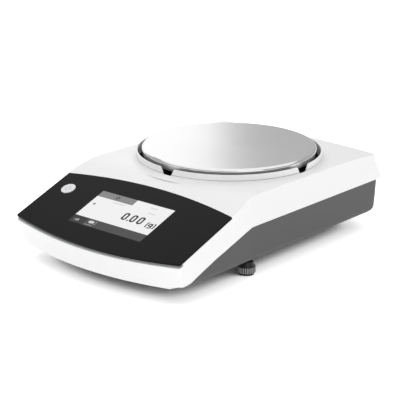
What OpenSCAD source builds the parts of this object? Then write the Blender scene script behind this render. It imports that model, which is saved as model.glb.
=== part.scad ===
// Precision balance: a bench scale with a round steel pan, a tilted touch panel and a force-restoring weigh cell.
// Frame: X to the right, Y to the back, Z up. The origin is under the middle of the housing, on the table.
// The front lip is at -Y. The pan stands at the back, over the weigh cell.

/* [Housing] */
// Width across the panel
body_w = 216; // [206:1:236]
// Depth from the front lip to the rear lip
body_d = 350; // [344:1:370]
// Height of the pan's top above the table
pan_z = 95; // [93:0.5:104]
// Height of the flat deck around the pan
deck_z = 82.5; // [81:0.5:84]
// Height of the front lip, at its middle
lip_z = 40.6; // [38:0.2:43]
// Height of the parting line along the sides
part_z = 53.5; // [50:0.5:56]
// Clearance between the housing and the table
base_z = 16.5; // [15.5:0.5:18]
// Slope of the panel in degrees
tilt = 20; // [18:0.5:22]
// Wall of the upper cover
cover_wall = 2.5; // [2:0.1:3]
// Wall of the lower tray
base_wall = 3; // [2.4:0.1:3.6]
// Gap along the parting line
part_gap = 0.3; // [0.2:0.05:0.5]
// Forward bow of the front lip
front_bow = 12; // [6:0.5:16]
// Backward bow of the rear lip
rear_bow = 16; // [12:0.5:18]
// Overhang of the cover's rear lip past the tray
rear_over = 8.5; // [6:0.5:11]
// Rounding of the tray's lower edge
edge_r = 7; // [4:0.5:8]

/* [Pan] */
// Diameter of the weighing pan
pan_d = 180; // [170:1:184]
// Sheet thickness of the pan
pan_t = 1.2; // [1:0.1:1.6]
// Depth of the pan's skirt
skirt_h = 9; // [7.5:0.5:9.5]
// Rounding of the pan's rim
rim_r = 3.2; // [2:0.1:4]
// Gap between the pan and the collar's inside
pan_gap = 4.3; // [3:0.1:5]
// Thickness of the raised collar around the pan
collar_t = 1.3; // [1.1:0.1:2]
// Height of the collar above the deck
collar_h = 8.4; // [7.5:0.1:9]
// Width of a finger notch in the collar, at its floor
notch_floor_w = 10; // [8:0.5:14]
// Width of a finger notch in the collar, at its mouth
notch_mouth_w = 19; // [17:0.5:24]
// Depth of the well under the deck
well_depth = 6.5; // [5:0.5:7.5]
// Reach of the pan support's arms
support_r = 72; // [60:1:76]

/* [Panel] */
// Length of the glass down the slope
glass_l = 77.7; // [74:0.1:80]
// Thickness of the glass
glass_t = 2; // [1.6:0.1:2.4]
// Backward bow of the glass's rear edge
glass_bow = 11.7; // [6:0.1:14]
// Thickness of the trim strip under the glass's front edge
trim_t = 2.2; // [1.6:0.1:2.8]
// Width of the display's active area
screen_w = 95; // [80:1:100]
// Height of the display's active area, down the slope
screen_h = 52.8; // [44:0.2:54]
// Distance from the glass's rear corners down to the active area
screen_set = 11.9; // [9:0.1:13]
// Diameter of the power button
button_d = 15; // [12:0.5:16]
// Distance of the power button from the panel's side
button_edge = 21; // [17:0.5:26]
// Distance of the power button down the slope
button_set = 22.5; // [18:0.5:28]
// Travel of the power button
button_travel = 0.8; // [0.4:0.1:1]

/* [Feet] */
// Distance of the levelling feet from the housing's side
foot_edge = 16; // [15.5:0.5:22]
// Place of the levelling feet, back from the front lip
foot_set = 127; // [110:1:140]
// Diameter of the knurled foot wheel
wheel_d = 18; // [16:0.5:20]
// Height of the knurled band
wheel_h = 6; // [5:0.5:7]
// Diameter of the foot's threaded stud
stud_d = 6; // [5:0.5:8]
// Diameter of the foot's rubber pad
pad_d = 15; // [12:0.5:16]
// Height of the foot's rubber pad
pad_h = 2.2; // [1.8:0.1:3]
// Distance of the rear feet from the middle
rear_foot_x = 58; // [45:1:62]
// Distance of the rear feet from the rear lip
rear_foot_set = 42; // [36:1:60]

/* [Weigh cell] */
// Height of the cell's frame
cell_h = 38; // [34:0.5:40]
// Width of the cell's frame
cell_w = 48; // [44:1:54]
// Length of the parallel guides
guide_l = 48; // [44:1:54]
// Thickness of the parallel guides
guide_t = 2; // [1.6:0.1:2.6]
// Diameter of the magnet pot
magnet_d = 38; // [34:1:42]
// Distance of the magnet pot behind the pan's middle
magnet_y = 94; // [92:1:98]

/* [Electronics] */
// Thickness of the circuit boards
board_t = 1.6; // [1:0.1:2]
// Height of the main board above the table
board_z = 30; // [28:0.5:34]
// Width of the display board
display_board_w = 112; // [104:1:120]

/* [Hidden] */

white = "#F2F2F2";
grey = "#636363";
black = "#262626";
steel = "#D0D2D4";
alloy = "#B8BCC0";
rubber = "#2E2E2E";
board_green = "#2F6B45";
brass = "#B89B5E";

eps = 0.01;
run = 0.05;
slack = 0.3;
slide_gap = 0.2;
big = 400;
through = 40;

// Places along Y and heights that follow from the sizes above
slope = tan(tilt);
front_y = -body_d / 2;
rear_y = body_d / 2;
corner_y = front_y + front_bow;
knee_y = front_y + (deck_z - lip_z) / slope;
collar_ri = pan_d / 2 + pan_gap;
collar_r = collar_ri + collar_t;
pan_set = 5;
pan_y = knee_y + pan_d / 2 + pan_set;
collar_z = deck_z + collar_h;
well_z = deck_z - well_depth;
well_under = well_z - cover_wall;
floor_z = base_z + base_wall;
side_drop = deck_z - part_z;
foot_x = body_w / 2 - foot_edge;
foot_y = front_y + foot_set;
rear_foot_y = rear_y - rear_foot_set;
screw_join = base_z + 13;

// Shape of the housing's walls
lip_half = body_w / 2;
rear_half = lip_half - 0.5;
foot_tuck = 3;
tuck_power = 1.2;
base_lean = 3;
wall_lean = 4;
front_tuck = 1.5;
foot_bow = front_bow + 6;
rear_rake = 8;
rake_power = 1.2;
rake_part = 0.62;
rear_flatten = 6;
rear_fall = 4;
front_corner_r = 2.5;
rear_corner_r = 6;
waist_from = knee_y - 26;
waist_to = knee_y + 10;
knee_steps = 6;
knee_run = 13;

function clamp01(t) = min(max(t, 0), 1);
function ease(t) = let(c = clamp01(t)) c * c * (3 - 2 * c);
function mix(a, b, t) = a + (b - a) * t;

// Height of the top surface: the panel's slope, a rounded knee, the flat deck and a slight fall to the rear
function slope_z(y) = lip_z + (y - front_y) * slope;
fall_from = rear_y - 100;
fall_to = rear_y - 18;
function fall(y) = rear_fall * pow(max(0, y - fall_from) / (fall_to - fall_from), 2);
knee_points = [for (i = [0:knee_steps]) let(t = i / knee_steps, y0 = knee_y - knee_run, y1 = knee_y + knee_run)
    [pow(1 - t, 2) * y0 + 2 * t * (1 - t) * knee_y + t * t * y1,
     pow(1 - t, 2) * slope_z(y0) + 2 * t * (1 - t) * deck_z + t * t * deck_z]];
fall_points = [for (i = [0:6]) let(y = mix(fall_from, rear_y + 6, i / 6)) [y, deck_z - fall(y)]];
top_line = concat([[front_y - 20, slope_z(front_y - 20)]], knee_points, fall_points);

// Line where cover and tray part: low at the front, then parallel to the panel, then level
part_knee_y = knee_y - 1.5;
part_foot_y = corner_y + 18;
part_bulge = 1.4;
part_line = [
    [front_y - 20, base_z - 5],
    [corner_y + 2, base_z - 5],
    [corner_y + 4, base_z + 1],
    [corner_y + 5.5, floor_z + 0.7],
    [part_foot_y - 6, floor_z + 0.8],
    [part_foot_y, slope_z(part_foot_y) - side_drop - 1.3],
    [part_foot_y + 6, slope_z(part_foot_y + 6) - side_drop - 0.6],
    [part_foot_y + 18, slope_z(part_foot_y + 18) - side_drop + 0.4 * part_bulge],
    [part_foot_y + 34, slope_z(part_foot_y + 34) - side_drop + part_bulge],
    [part_foot_y + 54, slope_z(part_foot_y + 54) - side_drop + 0.8 * part_bulge],
    [part_knee_y - 6, slope_z(part_knee_y - 6) - side_drop],
    [part_knee_y - 2, slope_z(part_knee_y - 2) - side_drop - 0.3],
    [part_knee_y + 2, part_z - 0.1],
    [part_knee_y + 6, part_z],
    [rear_y + 10, part_z]];

function shifted(line, dz) = [for (p = line) [p[0], p[1] + dz]];
function flipped(line) = [for (i = [len(line) - 1:-1:0]) line[i]];
function low_edge(z) = [[rear_y + 10, z], [front_y - 20, z]];

// A slab across the whole width whose side view is the given outline in Y and Z
module side_slab(outline, half = big / 2) {
    translate([-half, 0, 0])
        rotate([90, 0, 90])
            linear_extrude(2 * half) polygon(outline);
}

// Half widths, and places of the front and rear corners, at a height
function front_half(z) = lip_half - foot_tuck * pow(clamp01((lip_z - z) / (lip_z - base_z)), tuck_power);
function rear_half_at(z) = z < part_z
    ? rear_half - base_lean * (part_z - z) / (part_z - base_z)
    : rear_half - wall_lean * (z - part_z) / (deck_z - part_z);
function foot_share(z) = clamp01((lip_z - z) / (lip_z - base_z));
function bow_at(z) = mix(front_bow, foot_bow, foot_share(z));
function rake_share(z) = pow(clamp01((z - part_z) / (rake_part * (deck_z - part_z))), rake_power);
function rear_bow_at(z) = rear_bow - rear_flatten * rake_share(z);
function corner_at(z) = front_y + front_tuck * foot_share(z) + bow_at(z);
function rake_at(z) = rear_rake * rake_share(z);

// Rounded corner at c between the directions d0 and d1
corner_steps = 4;
function bend(c, d0, d1, r) = [for (i = [0:corner_steps]) let(t = i / corner_steps)
    pow(1 - t, 2) * (c + r * d0) + 2 * t * (1 - t) * c + t * t * (c + r * d1)];
function unit(v) = v / norm(v);

// Plan outline with bowed ends: half widths hf and hr, corner places yf and yr, bows bf and br,
// and the corners' roundings rf and rr
bow_steps = 14;
side_steps = 5;
function plan(hf, hr, yf, yr, bf, br, rf, rr) = concat(
    bend([-hf, yf], [0, 1], unit([1, -2 * bf / hf]), rf),
    [for (i = [1:bow_steps - 1]) let(x = mix(-hf, hf, i / bow_steps)) [x, yf - bf * (1 - x * x / (hf * hf))]],
    bend([hf, yf], unit([-1, -2 * bf / hf]), [0, 1], rf),
    [for (i = [0:side_steps]) let(t = i / side_steps) [mix(hf, hr, ease(t)), mix(waist_from, waist_to, t)]],
    bend([hr, yr], [0, -1], unit([-1, 2 * br / hr]), rr),
    [for (i = [1:bow_steps - 1]) let(x = mix(hr, -hr, i / bow_steps)) [x, yr + br * (1 - x * x / (hr * hr))]],
    bend([-hr, yr], unit([1, 2 * br / hr]), [0, -1], rr),
    [for (i = [0:side_steps]) let(t = i / side_steps) [-mix(hr, hf, ease(t)), mix(waist_to, waist_from, t)]]);

// Outline of the housing at height z, drawn in by inset; over is how far the rear stands in from the rear lip
function ring(z, inset, over) = plan(front_half(z) - inset, rear_half_at(z) - inset,
    corner_at(z) + inset, rear_y - rear_bow - rake_at(z) - over - inset, bow_at(z), rear_bow_at(z),
    front_corner_r, rear_corner_r);

// Loft through outlines that all have the same number of points
module loft(rings, heights) {
    n = len(rings[0]);
    m = len(rings);
    points = [for (k = [0:m - 1]) for (p = rings[k]) [p[0], p[1], heights[k]]];
    sides = [for (k = [0:m - 2]) for (i = [0:n - 1]) let(a = k * n + i, b = k * n + (i + 1) % n)
        each [[a, a + n, b], [b, a + n, b + n]]];
    bottom = [for (i = [0:n - 1]) i];
    top = [for (i = [n - 1:-1:0]) (m - 1) * n + i];
    polyhedron(points, concat([bottom], sides, [top]));
}

cover_heights = [base_z, mix(base_z, lip_z, 0.2), mix(base_z, lip_z, 0.55), lip_z, part_z,
    mix(part_z, deck_z, rake_part / 2), mix(part_z, deck_z, rake_part), deck_z + 1];
module cover_outside() loft([for (z = cover_heights) ring(z, 0, 0)], cover_heights);

// Inside of the cover, with a ledge that closes its rear lip down to the tray
ledge_h = 4;
cover_inner_heights = [base_z - 1, mix(base_z, lip_z, 0.5), lip_z, part_z + 1, part_z + 1 + ledge_h,
    mix(part_z, deck_z, 0.6), deck_z + 1];
module cover_inside() loft(
    [for (z = cover_inner_heights) ring(z, cover_wall, z < part_z + 2 ? rear_over - cover_wall + slack : 0)],
    cover_inner_heights);

// The tray's lower edge is rounded over edge_r
base_heights = [base_z, base_z + 0.12 * edge_r, base_z + 0.35 * edge_r, base_z + 0.65 * edge_r, base_z + edge_r, mix(base_z + edge_r, part_z, 0.5), part_z + 1];
function edge_inset(z) = let(t = clamp01((base_z + edge_r - z) / edge_r)) edge_r * (1 - sqrt(1 - 0.98 * t * t));
module base_outside() loft([for (z = base_heights) ring(z, edge_inset(z), rear_over)], base_heights);
base_inner_heights = [floor_z, mix(floor_z, part_z, 0.5), part_z + 2];
module base_inside() loft([for (z = base_inner_heights) ring(z, base_wall, rear_over)], base_inner_heights);

// Frame of the panel: the origin is on the glass's top, between its rear corners, with y up the slope
glass_back_y = corner_y + glass_l * cos(tilt);
module on_panel() {
    translate([0, glass_back_y, slope_z(glass_back_y)])
        rotate([tilt, 0, 0]) children();
}
glass_half = lip_half - 0.3;
glass_front = -glass_l;
glass_front_bow = front_bow / cos(tilt);
glass_corner = 1.5;
function glass_plan(inset) = let(h = glass_half - inset, f = glass_front + inset) concat(
    bend([-h, f], [0, 1], unit([1, -2 * glass_front_bow / h]), glass_corner),
    [for (i = [1:bow_steps - 1]) let(x = mix(-h, h, i / bow_steps)) [x, f - glass_front_bow * (1 - x * x / (h * h))]],
    bend([h, f], unit([-1, -2 * glass_front_bow / h]), [0, 1], glass_corner),
    [for (i = [0:bow_steps]) let(x = mix(h, -h, i / bow_steps)) [x, glass_bow * (1 - x * x / (h * h)) - inset]]);

// Space that the glass and the trim take out of the cover
trim_depth = 4;
function bow_line(bow, y, dir) = [for (i = [0:bow_steps]) let(x = mix(glass_half, -glass_half, i / bow_steps))
    [x, y + dir * bow * (1 - x * x / (glass_half * glass_half))]];
function widened(line) = concat([line[0] + [4, 0]], line, [line[len(line) - 1] - [4, 0]]);
glass_pocket = widened(bow_line(glass_bow, slide_gap, 1));
trim_pocket = widened(bow_line(glass_front_bow, glass_front + trim_depth + slide_gap, -1));
pocket_front = [[-lip_half - 2, glass_front - 40], [lip_half + 2, glass_front - 40]];

screen_mid = -screen_set - screen_h / 2;
module_w = screen_w + 10;
module_h = screen_h + 12;
module_t = cover_wall + trim_t;
frame_w = module_w + 8;
frame_h = module_h + 8;
frame_t = 7;
window_w = module_w + 2 * slack;
window_h = module_h + 2 * slack;
button_x = lip_half - button_edge;
button_y = -button_set;
flange_d = button_d + 3;
flange_t = 1;
display_stack = glass_t + module_t;

// Where the cover's screws stand, as places in plan
post_front = [68, corner_y + 8];
post_waist = [lip_half - 15, foot_y - 34];
post_rear = [lip_half - 15, rear_y - 38];
screw_posts = [for (p = [post_front, post_waist, post_rear]) for (s = [-1, 1]) [s * p[0], p[1]]];
post_r = 4.5;
pilot_r = 1.5;
screw_r = 1.4;
screw_head_r = 3;
screw_head_h = 2.4;
screw_seat = 4;
screw_bite = 9;

// Level in the rear of the deck
level_at = [-56, rear_y - 40];
level_flange = 1.5;
level_deck = deck_z - fall(level_at[1] + 11) - 1;
level_r = 9;
level_h = 7;

cone_hole_r = 12;

notch_floor_z = deck_z + 1.2;
module wedge_notch(angle) {
    translate([0, pan_y, 0])
        rotate([0, 0, angle])
            translate([0, -collar_ri + 4, notch_floor_z])
                rotate([90, 0, 0])
                    linear_extrude(collar_t + 14)
                        polygon([[-notch_floor_w / 2, 0], [notch_floor_w / 2, 0],
                            [notch_mouth_w / 2, collar_h], [-notch_mouth_w / 2, collar_h]]);
}

module top_cover() {
    color(white)
    difference() {
        union() {
            difference() {
                intersection() {
                    cover_outside();
                    side_slab(concat(top_line, flipped(part_line)));
                }
                intersection() {
                    cover_inside();
                    side_slab(concat(shifted(top_line, -cover_wall), low_edge(base_z - 5)));
                }
            }
            // Cup of the well, and the collar that rises out of the deck
            translate([0, pan_y, well_under])
                cylinder(h = deck_z - deck_join - well_under, r = collar_ri + cover_wall, $fn = 180);
            translate([0, pan_y, deck_z - deck_join])
                cylinder(h = collar_h + deck_join, r = collar_r, $fn = 180);
            collar_fillet();
            // Wall under the glass
            intersection() {
                cover_outside();
                on_panel() translate([0, 0, -glass_t - cover_wall - trim_t])
                    linear_extrude(cover_wall + trim_t)
                        polygon(concat(glass_pocket, [[-lip_half - 2, glass_front], [lip_half + 2, glass_front]]));
            }
            for (p = screw_posts) cover_post(p);
        }
        translate([0, pan_y, well_z])
            cylinder(h = through, r = collar_ri, $fn = 180);
        translate([0, pan_y, well_under - 1])
            cylinder(h = through, r = cone_hole_r, $fn = 64);
        for (a = [0:90:270]) wedge_notch(a);
        on_panel() {
            translate([0, 0, -glass_t]) linear_extrude(through) polygon(concat(glass_pocket, pocket_front));
            translate([0, 0, -glass_t - trim_t]) linear_extrude(through)
                difference() {
                    polygon(concat([[lip_half + 2, 0], [-lip_half - 2, 0]], pocket_front));
                    polygon(concat([[-lip_half - 5, 40], [lip_half + 5, 40]], trim_pocket));
                }
            translate([-window_w / 2, screen_mid - window_h / 2, 10 - through])
                cube([window_w, window_h, through]);
            translate([-button_x, button_y, 10 - through])
                cylinder(h = through, d = flange_d + 2 * slack, $fn = 48);
        }
        translate([level_at[0], level_at[1], deck_z - through / 2])
            cylinder(h = through, r = level_r + slide_gap, $fn = 48);
        translate([level_at[0], level_at[1], level_deck])
            cylinder(h = through, r = level_r + level_flange + slide_gap, $fn = 48);
        for (p = screw_posts)
            translate([p[0], p[1], screw_join - 1]) cylinder(h = screw_bite + 2, r = pilot_r, $fn = 24);
    }
}

// Concave sweep at the collar's foot, with a flank that runs out over the knee
fillet_r = 2.5;
fillet_run = 3.4;
deck_join = 2;
module collar_fillet() {
    in = collar_r - 0.5;
    out = collar_r + fillet_r;
    translate([0, pan_y, deck_z])
        rotate_extrude($fn = 180) {
            difference() {
                translate([in, -0.5]) square([out - in, fillet_r + 0.5]);
                translate([out, fillet_r]) circle(r = fillet_r, $fn = 48);
            }
            polygon([[in, -deck_join], [out + fillet_run, -deck_join], [out, 0], [in, 0]]);
        }
}

function ceiling(y) = min(slope_z(y) - (glass_t + trim_t) / cos(tilt), deck_z - fall(y) - 0.5 * cover_wall)
    - (y < knee_y ? 0.5 * cover_wall : 0);
module cover_post(p) {
    translate([p[0], p[1], screw_join + slide_gap])
        cylinder(h = ceiling(p[1]) - screw_join - slide_gap, r = post_r, $fn = 32);
}

// Recess in the tray's rear wall where the sockets stand
bay_edge = 22;
bay_x = bay_edge - lip_half;
bay_w = 72;
bay_h = 24;
bay_y = rear_y - rear_over - rear_bow - 2;
bay_wall = 2.5;
bay_z = board_z - 4;
jack_x = bay_x + 9;
usb_x = bay_x + 26;
serial_x = bay_x + 51;
jack_w = 9;
jack_h = 11;
usb_w = 12;
usb_h = 11;
serial_w = 31;
serial_h = 12.5;
port_fit = 0.4;

// Openings in the tray
boss_r = 8.5;
boss_top = 40;
hook_r = 9;
hook_cover_r = 14;
hook_cover_t = 2;
hook_pin_x = hook_cover_r + 7;

module port_hole(x, w, h) {
    translate([x - w / 2 - port_fit, bay_y - 12, port_z - port_fit])
        cube([w + 2 * port_fit, 24, h + 2 * port_fit]);
}

module base_housing() {
    color(grey)
    difference() {
        union() {
            difference() {
                intersection() {
                    base_outside();
                    side_slab(concat(shifted(part_line, -part_gap), low_edge(base_z - 6)));
                }
                base_inside();
            }
            front_tongue();
            tray_bosses();
            tray_ribs();
            // Walls around the socket recess
            intersection() {
                base_outside();
                translate([bay_x - bay_wall, bay_y - bay_wall, bay_z - bay_wall])
                    cube([bay_w + 2 * bay_wall, 40, bay_h + 2 * bay_wall]);
            }
        }
        translate([bay_x, bay_y, bay_z]) cube([bay_w, 40, bay_h]);
        port_hole(jack_x, jack_w, jack_h);
        port_hole(usb_x, usb_w, usb_h);
        port_hole(serial_x, serial_w, serial_h);
        for (s = [-1, 1]) translate([s * foot_x, foot_y, 0]) cylinder(h = 100, r = stud_d / 2 + run, $fn = 48);
        for (s = [-1, 1]) translate([s * rear_foot_x, rear_foot_y, pedestal_z - 1])
            cylinder(h = 1 + rear_seat, r = rear_foot_r + run, $fn = 48);
        translate([0, pan_y, base_z - 1]) cylinder(h = 20, r = hook_r, $fn = 48);
        translate([hook_pin_x, pan_y, base_z - 1]) cylinder(h = 20, r = screw_r + run, $fn = 24);
        for (p = screw_posts) translate([p[0], p[1], base_z - 1]) {
            cylinder(h = 1 + screw_join - screw_seat - base_z, r = screw_head_r + slide_gap, $fn = 32);
            cylinder(h = 40, r = screw_r + slide_gap, $fn = 24);
        }
        for (p = cell_posts) translate([p[0], p[1], base_z - 1]) {
            cylinder(h = 1 + cell_z - cell_seat - base_z, r = screw_head_r + slide_gap, $fn = 32);
            cylinder(h = 40, r = screw_r + slide_gap, $fn = 24);
        }
        for (p = board_posts) translate([p[0], p[1], floor_z + 1]) cylinder(h = 40, r = board_pilot_r, $fn = 24);
        for (i = [0:5]) translate([30 + 8 * i, rear_y - 74, base_z - 1]) cube([3, 34, 10]);
    }
}

// The floor runs on to the front inside the cover's lip
tongue_half = front_half(base_z) - edge_r - 1;
module front_tongue() {
    intersection() {
        translate([0, 0, base_z + 0.4]) linear_extrude(base_wall)
            polygon(ring(base_z, cover_wall + slack, rear_over));
        translate([-tongue_half, front_y, 0]) cube([2 * tongue_half, part_foot_y + 12 - front_y, 100]);
    }
}

// Weigh cell places
port_z = board_z + board_t;
cell_z = floor_z + 4;
cell_top = cell_z + cell_h;
cell_half = cell_w / 2;
receiver_front = pan_y - 11;
receiver_back = pan_y + 8;
guide_from = receiver_back;
guide_to = receiver_back + guide_l;
tower_back = guide_to + 16;
magnet_at = pan_y + magnet_y;
magnet_r = magnet_d / 2;
lug = 9;
lug_h = 6;
cell_seat = 4;
cell_posts = [for (s = [-1, 1]) for (y = [guide_to + lug / 2 + 1, pan_y + 24]) [s * (cell_half + lug / 2), y]];
rear_foot_r = 8;
rear_seat = 2.5;
pedestal_z = 4;

// Main board places
board_x0 = bay_x + 4;
board_x1 = -cell_half - lug - 3;
board_y0 = pan_y + 26;
board_y1 = bay_y - bay_wall - 0.5;
post_in = 5;
board_posts = [for (x = [board_x0 + post_in, board_x1 - post_in])
    for (y = [board_y0 + post_in, board_y1 - 22]) [x, y]];
board_pilot_r = 1.3;

module tray_bosses() {
    for (s = [-1, 1]) translate([s * foot_x, foot_y, base_z + 1]) cylinder(h = boss_top - base_z - 1, r = boss_r, $fn = 48);
    for (p = screw_posts) translate([p[0], p[1], base_z + 1]) cylinder(h = screw_join - base_z - 1, r = post_r, $fn = 32);
    for (p = cell_posts) translate([p[0], p[1], base_z + 1]) cylinder(h = cell_z - base_z - 1, r = post_r, $fn = 32);
    for (p = board_posts) translate([p[0], p[1], base_z + 1]) cylinder(h = board_z - base_z - 1, r = 3.5, $fn = 32);
    for (s = [-1, 1]) translate([s * rear_foot_x, rear_foot_y, pedestal_z])
        cylinder(h = base_z - pedestal_z + 1, r1 = rear_foot_r + 2, r2 = rear_foot_r + 5, $fn = 48);
    translate([0, pan_y, base_z + 1]) cylinder(h = base_wall + 1, r = hook_r + 3, $fn = 48);
    translate([hook_pin_x, pan_y, base_z + 1]) cylinder(h = base_wall + 3, r = 4, $fn = 32);
}

// Stiffening ribs on the tray's floor
rib_t = 2;
rib_h = 6;
module tray_ribs() {
    for (x = [-40, -13, 13, 40]) translate([x - rib_t / 2, corner_y + 24, base_z + 1])
        cube([rib_t, knee_y - corner_y - 20, base_wall + 3]);
    for (y = [knee_y - 44, knee_y - 4]) translate([-lip_half + 12, y, base_z + 1]) cube([2 * lip_half - 24, rib_t, rib_h]);
    for (s = [-1, 1]) translate([s * 66 - rib_t / 2, knee_y - 4, base_z + 1])
        cube([rib_t, rear_foot_y - knee_y - 8, rib_h - 1]);
}

module display_glass() {
    color(black)
    on_panel()
        difference() {
            translate([0, 0, -glass_t]) linear_extrude(glass_t) polygon(glass_plan(0));
            translate([-button_x, button_y, -glass_t - 1])
                cylinder(h = glass_t + 2, d = button_d + 2 * slide_gap, $fn = 64);
        }
}

module display_trim() {
    color("#8C8C8C")
    on_panel()
        translate([0, 0, -glass_t - trim_t + run])
            linear_extrude(trim_t - 2 * run)
                intersection() {
                    polygon(glass_plan(0.4));
                    polygon(concat([[-lip_half, glass_front - 30], [lip_half, glass_front - 30]],
                        widened(bow_line(glass_front_bow, glass_front + trim_depth, -1))));
                }
}

// The display's glass side lies on the panel glass, and its pins stand at the lower edge
module display_module() {
    color("#9DA6AE")
    on_panel() {
        translate([-module_w / 2, screen_mid - module_h / 2, -glass_t - module_t])
            cube([module_w, module_h, module_t]);
    }
}

module display_frame() {
    color("#3A3A3A")
    on_panel()
        difference() {
            translate([-frame_w / 2, screen_mid - frame_h / 2, -display_stack - frame_t])
                cube([frame_w, frame_h, frame_t]);
            translate([-module_w / 2 + 4, screen_mid - module_h / 2 + 4, -display_stack - frame_t - 1])
                cube([module_w - 8, module_h - 8, frame_t + 2]);
        }
}

board_drop = display_stack + frame_t;
display_board_h = frame_h - 4;
switch_board_y = button_y - 9;
module display_board() {
    color(board_green)
    on_panel() {
        translate([-display_board_w / 2, screen_mid - display_board_h / 2, -board_drop - board_t])
            cube([display_board_w, display_board_h, board_t]);
        translate([-button_x - 9, switch_board_y, -board_drop - board_t])
            cube([button_x + 9 - display_board_w / 2 + 1, 18, board_t]);
        translate([-20, screen_mid - 12, -board_drop - board_t - 1.2]) cube([14, 14, 1.2]);
        translate([8, screen_mid - 8, -board_drop - board_t - 1.6]) cube([22, 9, 1.6]);
    }
}

small_head_h = 1.8;
small_head_r = 2.5;
frame_screw_points = [for (x = [-1, 1]) for (y = [-1, 1])
    [x * (display_board_w / 2 - 3.5), screen_mid + y * (display_board_h / 2 - 3.5)]];
module frame_screws() {
    color(steel)
    on_panel()
        for (p = frame_screw_points) translate([p[0], p[1], -board_drop - board_t - small_head_h])
            cylinder(h = small_head_h, r = small_head_r, $fn = 32);
}

// The button's cap passes through the glass; its flange stays under it, and its stem ends over the switch
button_proud = 0.6;
flange_gap = 0.1;
switch_h = 3.6;
stem_end = -board_drop + switch_h + button_travel + 0.2;
module power_button() {
    color("#C9CCCE")
    on_panel()
        translate([-button_x, button_y, 0]) {
            translate([0, 0, -glass_t - flange_gap - eps])
                cylinder(h = glass_t + flange_gap + button_proud, d = button_d, $fn = 64);
            translate([0, 0, -glass_t - flange_gap - flange_t]) cylinder(h = flange_t, d = flange_d, $fn = 64);
            translate([0, 0, stem_end]) cylinder(h = -glass_t - flange_t - stem_end, d = 5, $fn = 32);
        }
}

module button_switch() {
    color("#2B2B2B")
    on_panel()
        translate([-button_x, button_y, -board_drop]) {
            translate([-3, -3, 0]) cube([6, 6, switch_h - 1]);
            cylinder(h = switch_h, d = 3.2, $fn = 32);
        }
}

// Pan: a flat disc whose rounded rim runs into a skirt that draws in slightly
skirt_in = 1.8;
module weighing_pan() {
    r = pan_d / 2;
    bottom = -skirt_h;
    color(steel)
    translate([0, pan_y, pan_z])
        rotate_extrude($fn = 180)
            polygon(concat(
                [[0, 0], [r - rim_r, 0]],
                [for (i = [1:5]) let(a = 90 - 18 * i) [r - rim_r + rim_r * cos(a), -rim_r + rim_r * sin(a)]],
                [[r - skirt_in, bottom], [r - skirt_in - pan_t, bottom], [r - pan_t - 0.1, -rim_r],
                    [r - rim_r - 0.4, -pan_t], [0, -pan_t]]));
}

// Support: a hub with a tapered socket, four webbed arms and a seat for a pad at the end of each
pad_thick = 2.8;
seat_t = 2.4;
seat_top = pan_z - pan_t - pad_thick;
seat_r = 7;
arm_w = 7;
arm_root_h = 7.5;
hub_r = 11;
hub_bottom = seat_top - arm_root_h - 1;
cone_r0 = 5.5;
cone_r1 = 3.5;
cone_top = hub_bottom + 6;
module pan_support() {
    color(alloy)
    translate([0, pan_y, 0])
        difference() {
            union() {
                translate([0, 0, hub_bottom]) cylinder(h = seat_top - hub_bottom, r = hub_r, $fn = 64);
                for (a = [45:90:315]) rotate([0, 0, a]) {
                    translate([0, arm_w / 2, 0]) rotate([90, 0, 0]) linear_extrude(arm_w)
                        polygon([[0, seat_top - arm_root_h], [hub_r, seat_top - arm_root_h],
                            [support_r, seat_top - seat_t], [support_r, seat_top], [0, seat_top]]);
                    translate([support_r, 0, seat_top - seat_t]) cylinder(h = seat_t, r = seat_r, $fn = 48);
                }
                ring_r = support_r * 0.55;
                translate([0, 0, seat_top - 3]) difference() {
                    cylinder(h = 3, r = ring_r + 2.5, $fn = 96);
                    translate([0, 0, -1]) cylinder(h = 5, r = ring_r - 2.5, $fn = 96);
                }
            }
            translate([0, 0, hub_bottom - eps])
                cylinder(h = cone_top - hub_bottom + 0.5, r1 = cone_r0 + run, r2 = cone_r1 + run, $fn = 48);
        }
}

module support_pads() {
    color(rubber)
    translate([0, pan_y, seat_top])
        for (a = [45:90:315]) rotate([0, 0, a])
            translate([support_r, 0, 0]) {
                cylinder(h = pad_thick, r = seat_r - 1.5, $fn = 48);
            }
}

// Dark tray that lines the well and screens the cell from spills
tray_t = 1.2;
tray_h = 4;
module well_tray() {
    color(black)
    translate([0, pan_y, 0])
        difference() {
            union() {
                difference() {
                    translate([0, 0, well_z]) cylinder(h = tray_h, r = collar_ri - 0.15, $fn = 180);
                    translate([0, 0, well_z + tray_t])
                        cylinder(h = through, r = collar_ri - 0.15 - tray_t, $fn = 180);
                }
                translate([0, 0, well_z]) cylinder(h = tray_t + 2, r = cone_hole_r + 2, $fn = 64);
            }
            translate([0, 0, well_z - 1]) cylinder(h = 20, r = cone_hole_r - 1, $fn = 64);
        }
}

// Receiver: the moving end of the parallel guides
link_w = 6;
receiver_bore_r = cell_half * 0.23;
receiver_z0 = cell_z + 2;
receiver_z1 = cell_top - 1;
lever_z = cell_z + cell_h / 2;
lever_h = 5;
module load_receiver() {
    color(alloy)
    difference() {
        union() {
            translate([-cell_half + 4, receiver_front, receiver_z0])
                cube([cell_w - 8, receiver_back - receiver_front - slack, receiver_z1 - receiver_z0]);
            translate([0, pan_y, receiver_z1 - eps])
                cylinder(h = 4, r = cone_r0 + 2.5, $fn = 48);
            // Nose that carries the coupling link
            translate([-link_w / 2, receiver_back - 1, lever_z - 12])
                cube([link_w, 9, 5]);
        }
        // Weight-saving bores through the block
        for (s = [-1, 1]) translate([s * cell_half / 2, receiver_front - 1, lever_z])
            rotate([-90, 0, 0]) cylinder(h = through, r = receiver_bore_r, $fn = 40);
        translate([0, pan_y, receiver_z0 - 1]) cylinder(h = 14, r = 2.5, $fn = 32);
    }
}

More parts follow.
